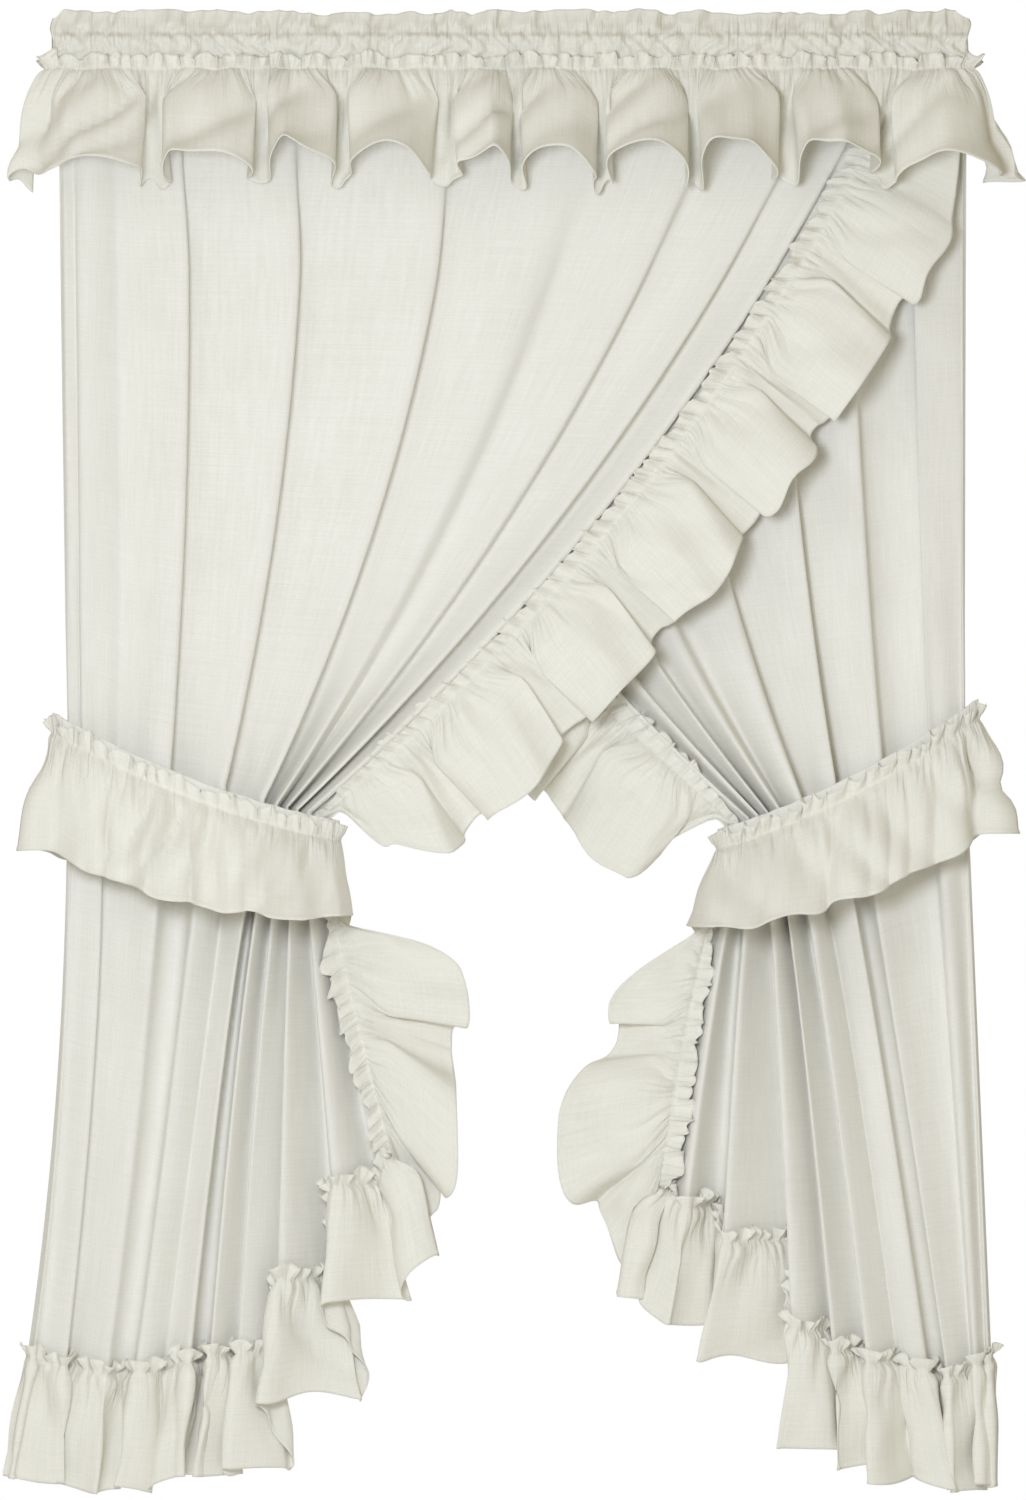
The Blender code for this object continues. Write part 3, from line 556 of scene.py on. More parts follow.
def creases(panel, s, w):
    """Small folds in the cloth: gathers under the heading, creases that run into the tie, and
    soft streaks down the whole drop."""
    last = len(panel.folds) - 1
    edge = ease((last - s) / EDGE_FLAT) * ease(s / OUTER_FLAT)
    wander = CREASE_WANDER * math.sin(2.3 * s + 1.7 * w + panel.phase)
    above, below = max(1 - w, 0.0) / INTO_TIE.above, max(w - 2, 0.0) / INTO_TIE.below
    small = math.exp(-w / UNDER_HEADING.below) * crease(UNDER_HEADING, s, wander, 0.0, 1.3)
    small += math.exp(-max(above, below)) * crease(INTO_TIE, s, wander, panel.phase)
    small += ease(w / STREAKS.above) * crease(STREAKS, s, 0.5 * wander, 0.0, 4 * w)
    return edge * small


def panel_point(panel, s, w):
    """The cloth s folds in from the outer edge, at station w down, in millimetres."""
    swing = math.cos(TURN * s)
    slid = s + fold_lean(panel, s, w) / TURN * swing
    x = ground(panel, slid, w).x
    z = ground(panel, s, w).y
    y = follow(panel.middle, w) - fold_depth(panel, s, w) * swing + creases(panel, s, w)
    return Vector((x * panel.side, y, z))


def course(points, i, axis):
    """The way a line of points runs at one of them, square to an axis and halfway between the
    runs that meet there."""
    total = Vector((0, 0, 0))
    for p, q in zip(points[max(i - 1, 0) : i + 1], points[max(i, 1) : i + 2]):
        run = q - p
        total += (run - axis * run.dot(axis)).normalized()
    return total.normalized()


def grid_normals(grid):
    """A unit normal for each point of a grid, to the front where it runs down and right."""
    columns = list(zip(*grid))
    normals = []
    for j, line in enumerate(grid):
        downs = [course(columns[i], j, Vector((0, 0, 0))) for i in range(len(line))]
        normals.append([down.cross(course(line, i, down)) for i, down in enumerate(downs)])
    return normals


def panel_stations():
    """Every row's station down a panel, evenly spaced in each stretch."""
    rows = [0.0]
    for start, end, count in PANEL_ROWS:
        rows += [mix(start, end, k / count) for k in range(1, count + 1)]
    return rows


def panel_grid(panel):
    """The panel's cloth, from its outer to its leading edge and from the heading to the hem."""
    folds = len(panel.folds) - 1
    stations = [k / POINTS_PER_FOLD for k in range(folds * POINTS_PER_FOLD + 1)]
    return [[panel_point(panel, s, w) for s in stations] for w in panel_stations()]


# A stitch of an edge ruffle: the normals of the panel's cloth and of the ruffle, the way the ruffle
# hangs, the way its heading rises off the cloth, the stitch's place, how far from there the edge of
# the heading is, how far the hem swings out, and the station
Stitch = namedtuple("Stitch", "normal facing hang above place tuck bell station")


def inward(line, distance):
    """Where on a row of cloth, counted in its points, a distance from its end lies."""
    for k in range(len(line) - 1, 0, -1):
        step = (line[k] - line[k - 1]).length
        if step >= distance:
            return k - distance / step
        distance -= step
    return 0.0


def between(vectors, k):
    """The vector where k counts, between its two neighbours."""
    low = min(int(k), len(vectors) - 2)
    return vectors[low].lerp(vectors[low + 1], k - low)


def standing(line, k, above):
    """From the end of a row of cloth to where k counts, raised to clear the cloth between."""
    edge, reach = line[-1], between(line, k) - line[-1]
    rise = 0.0
    for point in line[int(k) + 1 : -1]:
        share = (point - edge).dot(reach) / reach.length_squared
        rise = max(rise, (point - edge - reach * share).dot(above) / max(share, CLEARED_LEAST))
    return reach + above * rise


def rows_down(grid, step):
    """The grid's rows, with more between them where they are over a step apart at the end."""
    normals = grid_normals(grid)
    rows = panel_stations()
    yield grid[0], normals[0], rows[0]
    for j in range(len(grid) - 1):
        parts = max(1, math.ceil((grid[j + 1][-1] - grid[j][-1]).length / step))
        for k in range(1, parts + 1):
            t = k / parts
            cloth = [p.lerp(q, t) for p, q in zip(grid[j], grid[j + 1])]
            normal = [p.lerp(q, t).normalized() for p, q in zip(normals[j], normals[j + 1])]
            yield cloth, normal, mix(rows[j], rows[j + 1], t)


def edge_stitches(panel, grid, front):
    """Stitches down the leading edge of the cloth, from its rows near that edge."""
    kept = 2 * POINTS_PER_FOLD
    edge_grid = [line[-kept:] for line in grid]
    rows = list(rows_down(edge_grid, RUFFLE_STEP))
    last = len(rows) - 1
    for j, (cloth, normal, w) in enumerate(rows):
        run = rows[min(j + 1, last)][0][-1] - rows[max(j - 1, 0)][0][-1]
        flat = normal[-1] * front
        facing = (flat - Vector((0, EDGE_FACING, 0))).normalized()
        hang = facing.cross(run).normalized() * panel.side
        hang.z -= follow(panel.fall, w)
        hang.z *= ease(w / TOP_REACH)
        valley = cloth[-1 - round(POINTS_PER_FOLD * VALLEY_SHARE) :]
        k = inward(cloth, min(RUFFLE_HEADING, distances(valley)[-1] * HEADING_ROOM))
        above = (between(normal, k).normalized() * front + flat).normalized()
        tuck = standing(cloth, k, above)
        tuck *= max(1.0, FRILL_LEAST / tuck.length)
        yield Stitch(flat, facing, hang.normalized(), above, cloth[-1], tuck, Vector(), w)


def hem_bell(panel, s):
    """How far the hem of a ruffle swings out along a fold of the panel's hem."""
    swing = math.cos(TURN * s) / TURN
    lean = fold_lean(panel, s, HEM_STATION)
    near, far = (ground(panel, s + k * lean * swing, HEM_STATION).x for k in (1, 1 + HEM_BELL))
    return Vector(((far - near) * panel.side, 0, 0))


def hem_stitches(panel, grid, front):
    """Stitches along the hem, from the leading edge to the outer edge."""
    normals = grid_normals(grid[-3:])[-1]
    rows = zip(grid[-1][::-1], grid[-3][::-1], normals[::-1])
    for k, (cloth, over, normal) in enumerate(rows):
        bell = hem_bell(panel, (len(normals) - 1 - k) / POINTS_PER_FOLD)
        hang, flat = (cloth - over).normalized(), normal * front
        yield Stitch(flat, flat, hang, flat, cloth, -hang * RUFFLE_HEADING, bell, HEM_STATION)


def resampled(stitches, step):
    """The line with each run cut into equal parts no longer than step."""
    made = [stitches[0]]
    for a, b in zip(stitches, stitches[1:]):
        parts = max(1, math.ceil((b.place - a.place).length / step))
        for k in range(1, parts + 1):
            values = [p.lerp(q, k / parts) for p, q in zip(a[:-1], b[:-1])]
            units = [value.normalized() for value in values[:4]]
            made.append(Stitch(*units, *values[4:], mix(a.station, b.station, k / parts)))
    return made


def stitch_line(panel, grid):
    """The stitching down the leading edge, then along the hem."""
    front = -1 if panel.side < 0 else 1
    edge = list(edge_stitches(panel, grid, front))
    hem = resampled(list(hem_stitches(panel, grid, front)), RUFFLE_STEP)
    turned = []
    for stitch in hem:
        far = ease((stitch.place - edge[-1].place).length / CORNER_REACH)
        hang = edge[-1].hang.lerp(stitch.hang, far).normalized()
        turned.append(stitch._replace(hang=hang, bell=stitch.bell * far))
    return edge + turned[1:]


def flute_at(distance):
    """(share, span) of the flute at a distance along the stitching."""
    rest = distance % sum(FLUTE_SPANS)
    for span in FLUTE_SPANS:
        if rest < span:
            break
        rest -= span
    return rest / span, span


def pleat(share, spread):
    """(across, out) at a share of one flute's cloth, from valley to valley, where its valleys
    are spread so far."""
    half = 2 * (len(PLEAT) - 2) * min(share, 1 - share)
    narrow, wide, out = (spline(values, half) for values in zip(*PLEAT))
    across = mix(narrow, wide, spread)
    return (across if share < 0.5 else 1 - across), out


def skewed(share, crest):
    """A share of a flute, moved so that the middle comes where the crest is."""
    return 2 * crest * share if share < 0.5 else 1 - 2 * (1 - crest) * (1 - share)


def squeeze_at(panel, w, from_tie):
    """How far the ruffle is open, from its distance along the stitching to the tie."""
    opening = panel.opening_above if w < TIE_STATION else panel.opening_below
    return mix(TIE_SQUEEZE, 1.0, follow(opening, from_tie))


def mitre(stitch, runs):
    """How much longer an offset is at a bend, so that it keeps its distance from both runs."""
    axis = stitch.tuck.normalized()
    level = [(run - axis * run.dot(axis)).normalized() for run in runs]
    lean = max(abs(stitch.normal.dot(run)) for run in level)
    return 1 / math.sqrt(max(MITRE_LIMIT, 1 - lean * lean))


def wandering(a, pitch, phase):
    """Turns along a seam whose spacing wanders."""
    turn = TURN * a / pitch + phase
    (far, often), (less_far, oftener) = WANDERS
    wander = far * math.sin(turn * often + phase)
    return turn + wander + less_far * math.sin(turn * oftener + 2 * phase)


def crest_height(a, pitch, phase, lower, lead):
    """How high the crest at a along a seam is, as a share of the highest."""
    share, often = lower
    return 1 - share + share * math.sin((TURN * a / pitch + phase) * often + lead)


def uneven(a, pitch, phase, lead=0.0):
    """A soft wave along a seam, in -1 to 1, whose crests are unevenly spaced and high."""
    height = crest_height(a, pitch, phase, WAVES_LOWER, 3 * phase)
    return math.sin(wandering(a, pitch, phase) + lead) * height


def puffed(a, pitch, phase):
    """Rounded ridges with sharp creases between them, in -1 to 1."""
    height = crest_height(a, pitch, phase, RIDGES_LOWER, 2 * phase)
    ridge = math.sqrt(math.cos(wandering(a, pitch, phase) / 2) ** 2 + RIDGE_CREASE)
    return (2 * ridge - 1) * height


def wave(kind, a, phase=0.0, unit=1.0):
    """A soft wave's height at a along its seam, its pitch counted in a unit."""
    return kind.height * uneven(a, kind.pitch * unit, kind.phase + phase)


def puff(kind, a, phase=0.0):
    """The same for a wave of rounded ridges."""
    return kind.height * puffed(a, kind.pitch, kind.phase + phase)


def ridges(fold, a, pitch, phase):
    """A fold's rounded ridges at a along its seam."""
    return fold.height * (puffed(a, fold.pitch * pitch, fold.phase + phase) + fold.proud)


def strength(fold, r):
    """How strong a fold is at a share r of the drop."""
    return ease(r / fold.grows) * math.exp(-max(r - fold.holds, 0.0) / fold.fades)


def gathers(cloth, a, r, piece):
    """(out, along) shift of a gathered strip at a along its seam and a share r of its drop: fine
    puckers at the seam run together into soft folds, and slanting drag folds cross the middle."""
    pitch, depth = cloth.gather_pitch / MM, cloth.gather_depth / MM
    near = min(1.0, r / PUCKER.grows) * math.exp(-r / PUCKER.fades)
    slant = (DRAG_FOLD.slant + DRAG_SLANT * piece.drag) * r * r
    out = near * ridges(PUCKER, a + PUCKER.slant * r, pitch, piece.phase)
    out += strength(SOFT_FOLD, r) * ridges(SOFT_FOLD, a + SOFT_FOLD.slant * r, pitch, piece.phase)
    out += piece.drag * strength(DRAG_FOLD, r) * ridges(DRAG_FOLD, a + slant, pitch, piece.phase)
    out, along = depth * out, 0.0
    for billow, height in ((BROAD, piece.broad), (WIDE, piece.wide)):
        swell = height * ease(r / billow.grows)
        crest = (a + billow.slant * r, billow.pitch * pitch, billow.phase + piece.phase)
        out += swell * uneven(*crest)
        along += billow.sideways * swell * uneven(*crest, TURN / 4)
    return out, along


def curls(cloth, a, t, phase):
    """(rise, along, stretch) of a narrow heading at a along its seam and a share t of its height:
    it leans out from the seam and curls to and fro."""
    pitch = cloth.frill_pitch / MM
    taller = CURL_STRETCH
    for kind in CURL_TALLER:
        taller *= 1 + wave(kind, a, phase, pitch)
    lean = CURL_LEAN * ease(t / CURL_LEANS_BY)
    curl = sum(wave(kind, a, phase, pitch) for kind in CURL_WAVES) * t**CURL_GROWS
    rise = RUFFLE_HEADING * taller * t * math.sin(lean) + curl * math.cos(lean)
    slide = uneven(a, pitch, phase, TURN / 4) + wave(CURL_WANDER, a, phase, pitch)
    stretch = taller * t * math.cos(lean) - curl * math.sin(lean) / RUFFLE_HEADING
    return max(rise, 0.0), CURL_SLIDE * t * slide, stretch


# A place along an edge ruffle: how far along its stitching, and the same with the hem's gathers
# spaced out, the way the stitching runs, how sharp its bend is, and how far round the corner it is.
# Then how wide it is outside the tie, how freely it gathers and flutes, how much of its heading
# shows, where in its flute it is, and that flute's span.
Spot = namedtuple("Spot", "a spaced run bend on_hem squeeze opens free trim share span")


def spots(panel, line):
    """The place of every stitch in the line of an edge ruffle."""
    along = distances([stitch.place for stitch in line])
    corner, tie = (
        next(a for a, stitch in zip(along, line) if stitch.station >= station)
        for station in (HEM_STATION, TIE_STATION)
    )
    for i, (a, stitch) in enumerate(zip(along, line)):
        w = stitch.station
        before = stitch.place - line[max(i - RUN_REACH, 0)].place
        after = line[min(i + RUN_REACH, len(line) - 1)].place - stitch.place
        on_hem = ease((a - corner) / CORNER_REACH)
        squeeze = squeeze_at(panel, w, abs(a - tie))
        start = mix(TOP_OPEN, 1.0, ease(w / TOP_FREE))
        yield Spot(
            a,
            min(a, corner) + max(a - corner, 0.0) / HEM_EASE,
            (before + after).normalized(),
            mitre(stitch, (before, after)),
            on_hem,
            squeeze,
            start * mix(OPEN_LEAST, 1.0, squeeze),
            start * squeeze * (1 - on_hem),
            min(1.0, CORNER_TRIM + abs(a - corner) / (TRIM_REACH * RUFFLE_HEADING)),
            *flute_at(a - panel.flute_start[w >= TIE_STATION]),
        )


def edge_frill(cloth, panel, stitch, spot, t):
    """From the stitching to a share t up the narrow heading, over the panel's own cloth."""
    rise, side, stretch = curls(cloth, spot.a, t, panel.phase)
    lift = (CLOTH + SEAM_GAP) * spot.bend + rise * spot.opens / spot.bend
    height = mix(TUCK_LEAST, 1.0, spot.squeeze) * spot.trim * stretch
    across = spot.run * side * spot.opens * spot.trim
    return stitch.tuck * height + stitch.above * lift + across


def edge_flounce(cloth, panel, stitch, spot, r):
    """From the stitching to a share r down the fluted ruffle."""
    piece = Gathered(panel.phase, EDGE_BILLOW, HEM_BILLOW * spot.on_hem, 1.0)
    shift, side = gathers(cloth, spot.spaced, r, piece)
    across, out = pleat(spot.share, FLUTE_WIDE * r)
    stand = FLUTE_DEPTH * spot.free * (2 * out - 1 + FLUTE_BIAS * panel.side) * r
    sway = (across - spot.share) * spot.span * ease(r / PLEAT_REACH)
    sway += FLUTE_LEAN * (2 * out - 1) * r
    drop = RUFFLE_DROP * spot.squeeze * mix(TOP_DROP, 1.0, ease(stitch.station / TOP_REACH))
    drop *= 1 - FLUTE_RECESS * spot.free * (1 - out) + r * wave(RUFFLE_HEM, spot.spaced)
    here = stitch.normal * (CLOTH + SEAM_GAP) * spot.bend + stitch.hang * drop * r
    here += stitch.bell * r + stitch.facing * (stand + shift * spot.opens)
    return here + spot.run * (sway * spot.free + side * spot.opens)


def ruffle_grid(cloth, panel, grid):
    """A strip gathered on to the panel's leading edge and hem, with its heading over the cloth."""
    line = stitch_line(panel, grid)
    places = list(zip(line, spots(panel, line)))
    made = []
    for r in RUFFLE_ROWS:
        reach = edge_frill if r < 0 else edge_flounce
        row = [stitch.place + reach(cloth, panel, stitch, spot, abs(r)) for stitch, spot in places]
        made.append(row)
    return made


# A column of the valance: its place, its outward direction, its least and most flare in degrees,
# and its share of its flute, with the flute's crest and width
Column = namedtuple("Column", "place out low high share crest width")


def valance_path():
    """Columns of the valance round the heading, left to right."""
    first = VALANCE_FLUTES[0].left
    corner = VALANCE_FRONT + VALANCE_CORNER
    path = []

    def side(x, ends, out, last):
        """Columns along one end of the heading."""
        for k in range(VALANCE_END_STEPS + last):
            y, flare = (mix(a, b, k / VALANCE_END_STEPS) for a, b in zip(*ends))
            place, outward = Vector((x, y, 0)), Vector((out, 0, 0))
            path.append(Column(place, outward, flare, flare, 0.0, 0.5, 0.0))

    back, front = (VALANCE_BACK, BACK_FLARE), (corner, SIDE_FLARE)
    side(first, (back, front), -1, 0)
    ends = [flute.left for flute in VALANCE_FLUTES[1:]] + [VALANCE_RIGHT]
    for flute, end in zip(VALANCE_FLUTES, ends):
        width = end - flute.left
        for i in range(VALANCE_STEPS + (end == VALANCE_RIGHT)):
            share = i / VALANCE_STEPS
            x = flute.left + width * skewed(share, flute.crest)
            left = 1 - ease((x - first) / VALANCE_TURN)
            right = 1 - ease((VALANCE_RIGHT - x) / VALANCE_TURN)
            sided = left + right
            out = Vector((right - left, sided * CORNER_TURN - 1, 0)).normalized()
            place = Vector((x, VALANCE_FRONT, 0))
            low = mix(VALLEY_FLARE, SIDE_FLARE, sided)
            free = width * (1 - sided)
            path.append(Column(place, out, low, flute.flare, share, flute.crest, free))
    side(VALANCE_RIGHT, (front, back), 1, 1)
    return path


def valance_frill(cloth, a, column, run, t):
    """From the valance's seam to a share t up its narrow heading."""
    rise, side, stretch = curls(cloth, a, t, VALANCE_GATHERED.phase)
    return Vector((0, 0, RUFFLE_HEADING * stretch)) + column.out * rise + run * side


def valance_drop(cloth, a, column, run, r):
    """From the valance's seam to a share r down its drop."""
    across, stand = pleat(column.share, r)
    shift, side = gathers(cloth, a, r, VALANCE_GATHERED)
    side += r * wave(VALANCE_SLIDE, a)
    angle = mix(column.low, column.high, stand * mix(VALANCE_TOP_FLARE, 1.0, r))
    angle = math.radians(angle + r * wave(VALANCE_SWAY, a - VALANCE_LAG * r))
    drop = RUFFLE_DROP * r
    drop += r * r * ((1 - stand) * wave(VALANCE_TIPS, a) + wave(VALANCE_HEM, a))
    here = column.out * (drop * math.sin(angle) + shift * math.cos(angle)) + run * side
    here.z += shift * math.sin(angle) - drop * math.cos(angle)
    skew = skewed(across, column.crest) - skewed(column.share, column.crest)
    here.x += skew * column.width * ease(r / PLEAT_REACH)
    return here


def valance_grid(cloth):
    """A strip gathered on to the heading's lower seam and round its ends."""
    made = [[] for _ in RUFFLE_ROWS]
    columns = valance_path()
    for a, column in zip(distances([column.place for column in columns]), columns):
        run = Vector((-column.out.y, column.out.x, 0))
        seam_place = column.place + Vector((0, 0, VALANCE_SEAM + wave(VALANCE_STITCHED, a)))
        for line, r in zip(made, RUFFLE_ROWS):
            reach = valance_frill if r < 0 else valance_drop
            line.append(seam_place + reach(cloth, a, column, run, abs(r)))
    return made


def tie_path(tie):
    """Places and outward directions round the loop, from its outer front end to its outer back."""
    middle = follow(tie.panel.middle, 1)
    centre, reach = (tie.outer + tie.inner) / 2, (tie.inner - tie.outer) / 2
    power = 2 / TIE_SQUARENESS
    path = []
    for k in range(TIE_STEPS + 1):
        angle = math.radians(mix(180 + TIE_OPEN_DEG, 540 - TIE_OPEN_DEG, k / TIE_STEPS))
        c, s = math.cos(angle), math.sin(angle)
        x = centre + reach * math.copysign(abs(c) ** power, c)
        y = tie.depth * math.copysign(abs(s) ** power, s)
        out = Vector((c / reach, s / tie.depth, 0)).normalized()
        place = Vector((x * tie.panel.side, middle + y, tie_height(tie.panel, x)))
        path.append((place, Vector((out.x * tie.panel.side, out.y, 0)), k / TIE_STEPS))
    return path


def band_grid(tie):
    """The band, its two edges turned in a little."""
    grid = []
    for row in BAND_ROWS:
        half = Vector((0, 0, -row.height * TIE_BAND / 2))
        line = []
        for place, out, turn in tie_path(tie):
            a = turn * BAND_CUT[0] / MM
            broad, fine = BAND_PUCKERS
            pucker = wave(broad, a, row.height) + wave(fine, a)
            line.append(place + half * (1 + wave(BAND_WIDTH_WAVE, a)) + out * (pucker - row.inset))
        grid.append(line)
    return grid


def tie_ruffle_grid(cloth, tie):
    """A strip gathered on to the band, flared out below it, with its heading over it."""
    made = [[] for _ in RUFFLE_ROWS]
    piece = TIE_GATHERED._replace(phase=tie.panel.phase + TIE_GATHERED.phase)
    path = tie_path(tie)
    along = distances([place for place, _, _ in path])
    for a, (place, out, turn) in zip(along, path):
        share = (place.x * tie.panel.side - tie.outer) / (tie.inner - tie.outer)
        front = ease((TIE_FRONT - out.y) / TIE_FRONT_REACH)
        flare = mix(tie.outer_flare, tie.inner_flare, ease(share))
        angle = math.radians(mix(TIE_BACK_FLARE, flare, front))
        stand = Vector((out.x * mix(1.0, tie.nose, share), out.y, 0))
        run = Vector((-out.y, out.x, 0))
        flutes = turn * TIE_FLUTES + TIE_FLUTE_WANDER * math.sin(5 * turn)
        flute = TIE_FLUTE_DEPTH * math.cos(TURN * flutes)
        lift = NOSE_LIFT * ease((share - NOSE_START) / (1 - NOSE_START))
        seam_place = place + out * (CLOTH + SEAM_GAP) - Vector((0, 0, TIE_GATHER_DROP))
        for line, r in zip(made, RUFFLE_ROWS):
            if r < 0:
                rise, side, stretch = curls(cloth, a, -r, piece.phase)
                here = Vector((0, 0, TIE_FRILL * stretch)) + out * rise * TIE_FRILL_LEAN
            else:
                shift, side = gathers(cloth, a, r, piece)
                drop = RUFFLE_DROP * r * (1 - lift * r) * (1 + r * wave(TIE_HEM, a))
                here = stand * (drop * math.sin(angle) + shift + flute * r)
                here.z -= drop * math.cos(angle)
            line.append(seam_place + here + run * side)
    return made


def pocket_crinkle(x, z, side):
    """How far the pocket's cloth stands out: upright puckers, slanting ones and a broad swell."""
    bent = x + 7.0 * math.sin(z / 9.0 + side + x / 61.0) + 4.0 * math.sin(z / 4.3 + x / 23.0)
    slanted = 0.9 * z + 0.5 * x + 9.0 * math.sin(x / 27.0)
    crinkle = puff(POCKET_UPRIGHT, bent, side) + puff(POCKET_SLANTING, slanted, side)
    return crinkle + wave(POCKET_SWELL, x - 0.5 * z, side)


def frill_bow(x, z):
    """How far the frill above the pocket bows to the front or the back."""
    broad, narrow = FRILL_BOWS
    return wave(broad, x + 7.0 * math.sin(z / 13.0)) + wave(narrow, x - 0.4 * z)


def heading_section(x):
    """(across, depth, height) round the outside of the heading at x, front first, from its lower
    seam over the frill and down the back."""
    from_end = min(x - HEAD_LEFT, HEAD_RIGHT - x)
    inside = ease(from_end / END_STRAIGHT)
    top = FRILL_TOP - FRILL_END_DROP * (1 - ease(from_end / END_LOWER))
    top += 1.8 * math.sin(x / 71.0 + 0.6) + sum(wave(kind, x) for kind in FRILL_EDGE)
    crumple = math.copysign(END_CRUMPLE * (1 - ease(from_end / END_CRUMPLED)), -x)
    outline = []
    for side in (-1, 1):
        face = []
        for k in range(HEADING_ROWS):
            z = mix(SEAM_BOTTOM, top, k / (HEADING_ROWS - 1))
            pocket = risen(POCKET_OPENS, z) * risen(POCKET_CLOSES, z)
            above = risen(FRILL_MOVES, z)
            open_top = 1 - ease((z - POCKET_TOP) / (top - POCKET_TOP))
            frill = FRILL_HALF_THICKNESS + FRILL_PUFF * open_top
            depth = mix(mix(SHOULDER, frill, risen(FRILL_NARROWS, z)), POCKET_FRONT, pocket)
            crinkle = pocket * (pocket_crinkle(x, z, side) + POCKET_PROUD)
            depth += max(crinkle * risen(POCKET_CRINKLES, z), -POCKET_DENT)
            depth += puff(FRILL_GATHER, x) * math.exp(-abs(z - POCKET_TOP) / FRILL_GATHER_REACH)
            depth += puff(FRILL_FOLD, x - 0.5 * z) * above
            shift = crumple * math.sin(z / 6.5 + 1.0) + above * wave(FRILL_SLIDE, x)
            face.append((x + shift, side * depth + above * inside * frill_bow(x, z), z))
        outline += face if side < 0 else face[::-1]
    return outline


def pocket_section(x):
    """Round the inside of the pocket, running as the outside does."""
    deep, low, top = POCKET_HALF_DEPTH, POCKET_BOTTOM, POCKET_TOP
    left = ((-POCKET_SEAM, low), (POCKET_CORNER - deep, low), (-deep, low + POCKET_CORNER))
    left += ((-deep, top - POCKET_TAPER), (-POCKET_CORNER, top), (-POCKET_SEAM, top))
    return [(x, y, z) for y, z in left + tuple((-y, z) for y, z in reversed(left))]


def new_piece(name, mesh, finish, slot, node=None):
    """A finished piece that rides on the curtains' body, and stands for a solid of theirs."""
    mesh.shade_smooth()
    if not mesh.materials:
        mesh.materials.append(finish)
    piece = bpy.data.objects.new(name, mesh)
    bpy.context.scene.collection.objects.link(piece)
    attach(piece, "root")
    if node:
        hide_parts(node)
    return piece


def cloth_mesh(name, grid, width, heights):
    """A grid of quads in metres, with a UV map in metres of flat cloth. Heights are the rows'
    places up the cloth, in millimetres, where they are known."""
    mesh = bpy.data.meshes.new(name)
    count = len(grid[0])
    points = [point * MM for line in grid for point in line]
    faces = [
        (j * count + i, (j + 1) * count + i, (j + 1) * count + i + 1, j * count + i + 1)
        for j in range(len(grid) - 1)
        for i in range(count - 1)
    ]
    mesh.from_pydata(points, [], faces)
    if not heights:
        heights = [-drop for drop in distances([line[count // 2] for line in grid])]
    layer = mesh.uv_layers.new(name="Cloth")
    for loop in mesh.loops:
        j, i = divmod(loop.vertex_index, count)
        layer.data[loop.index].uv = (width * i / (count - 1), heights[j] * MM)
    return mesh


def add_sheet(name, node, grid, slot, cut, rests_on, turned_in=()):
    """One layer of cloth through a grid, thicker in the rows where its edge is turned in."""
    heights = None
    if len(grid) == len(RUFFLE_ROWS):
        heights = [-r * (RUFFLE_DROP if r > 0 else RUFFLE_HEADING) for r in RUFFLE_ROWS]
    piece = new_piece(name, cloth_mesh(name, grid, cut[0], heights), finish_of(slot), slot, node)
    hem = piece.vertex_groups.new(name="Hem")
    count = len(grid[0])
    for j in turned_in:
        hem.add(range(j * count, (j + 1) * count), 1.0, "REPLACE")
    thick = piece.modifiers.new("Cloth", "SOLIDIFY")
    thick.thickness = 2 * bpy.context.scene.curtain_cloth.thickness
    thick.offset = 0.0
    thick.vertex_group = "Hem"
    thick.thickness_vertex_group = 0.5
    return piece


def facing_out(panel, grid):
    """A panel's grid with its rows turned round where the panel is mirrored."""
    return [line[::-1] for line in grid] if panel.side < 0 else grid


def seam(grid, row):
    """A row of a grid as (place, normal) pairs, in metres, where it is stitched."""
    rows = grid[max(row - 1, 0) : row + 2]
    normals = grid_normals(rows)[min(row, 1)]
    return [(place * MM, normal) for place, normal in zip(grid[row], normals)]


# What is left to sew: the lines of each stitching, by its name
SEAMS = {}


def add_ruffle(name, node, grid, cut, rests_on, panel=LEFT_PANEL):
    """A gathered ruffle, to be sewn along its seam and its hem."""
    outward = facing_out(panel, grid)
    add_sheet(name + "_cloth", node, outward, "ruffle_cloth", cut, rests_on, HEM_ROWS)
    SEAMS[name + "_stitches"] = [seam(grid, SEAM_ROW), seam(grid, HEM_ROWS[0])]


class Field:
    """A value in a tree of nodes. Sums on it add Math nodes."""

    def __init__(self, nodes, socket):
        self.nodes, self.socket = nodes, socket

    def sum(self, operation, a, b):
        return self.nodes.node("ShaderNodeMath", {"operation": operation}, {0: a, 1: b})

    def __add__(self, other):
        return self.sum("ADD", self, other)

    def __sub__(self, other):
        return self.sum("SUBTRACT", self, other)

    def __rsub__(self, other):
        return self.sum("SUBTRACT", other, self)

    def __mul__(self, other):
        return self.sum("MULTIPLY", self, other)

    def __abs__(self):
        return self.sum("ABSOLUTE", self, 0.0)

    def __pow__(self, other):
        return self.sum("POWER", self, other)

    __radd__, __rmul__ = __add__, __mul__


class Nodes:
    """A tree of nodes under construction."""

    def __init__(self, tree):
        self.tree = tree
        tree.nodes.clear()

    def node(self, kind, settings=None, sockets=None, output=0):
        """A node with its settings made first and then its sockets fed with values or fields."""
        made = self.tree.nodes.new(kind)
        for key, value in (settings or {}).items():
            setattr(made, key, value)
        for key, value in (sockets or {}).items():
            if isinstance(value, Field):
                self.tree.links.new(value.socket, made.inputs[key])
            else:
                made.inputs[key].default_value = value
        return Field(self, made.outputs[output]) if made.outputs else None


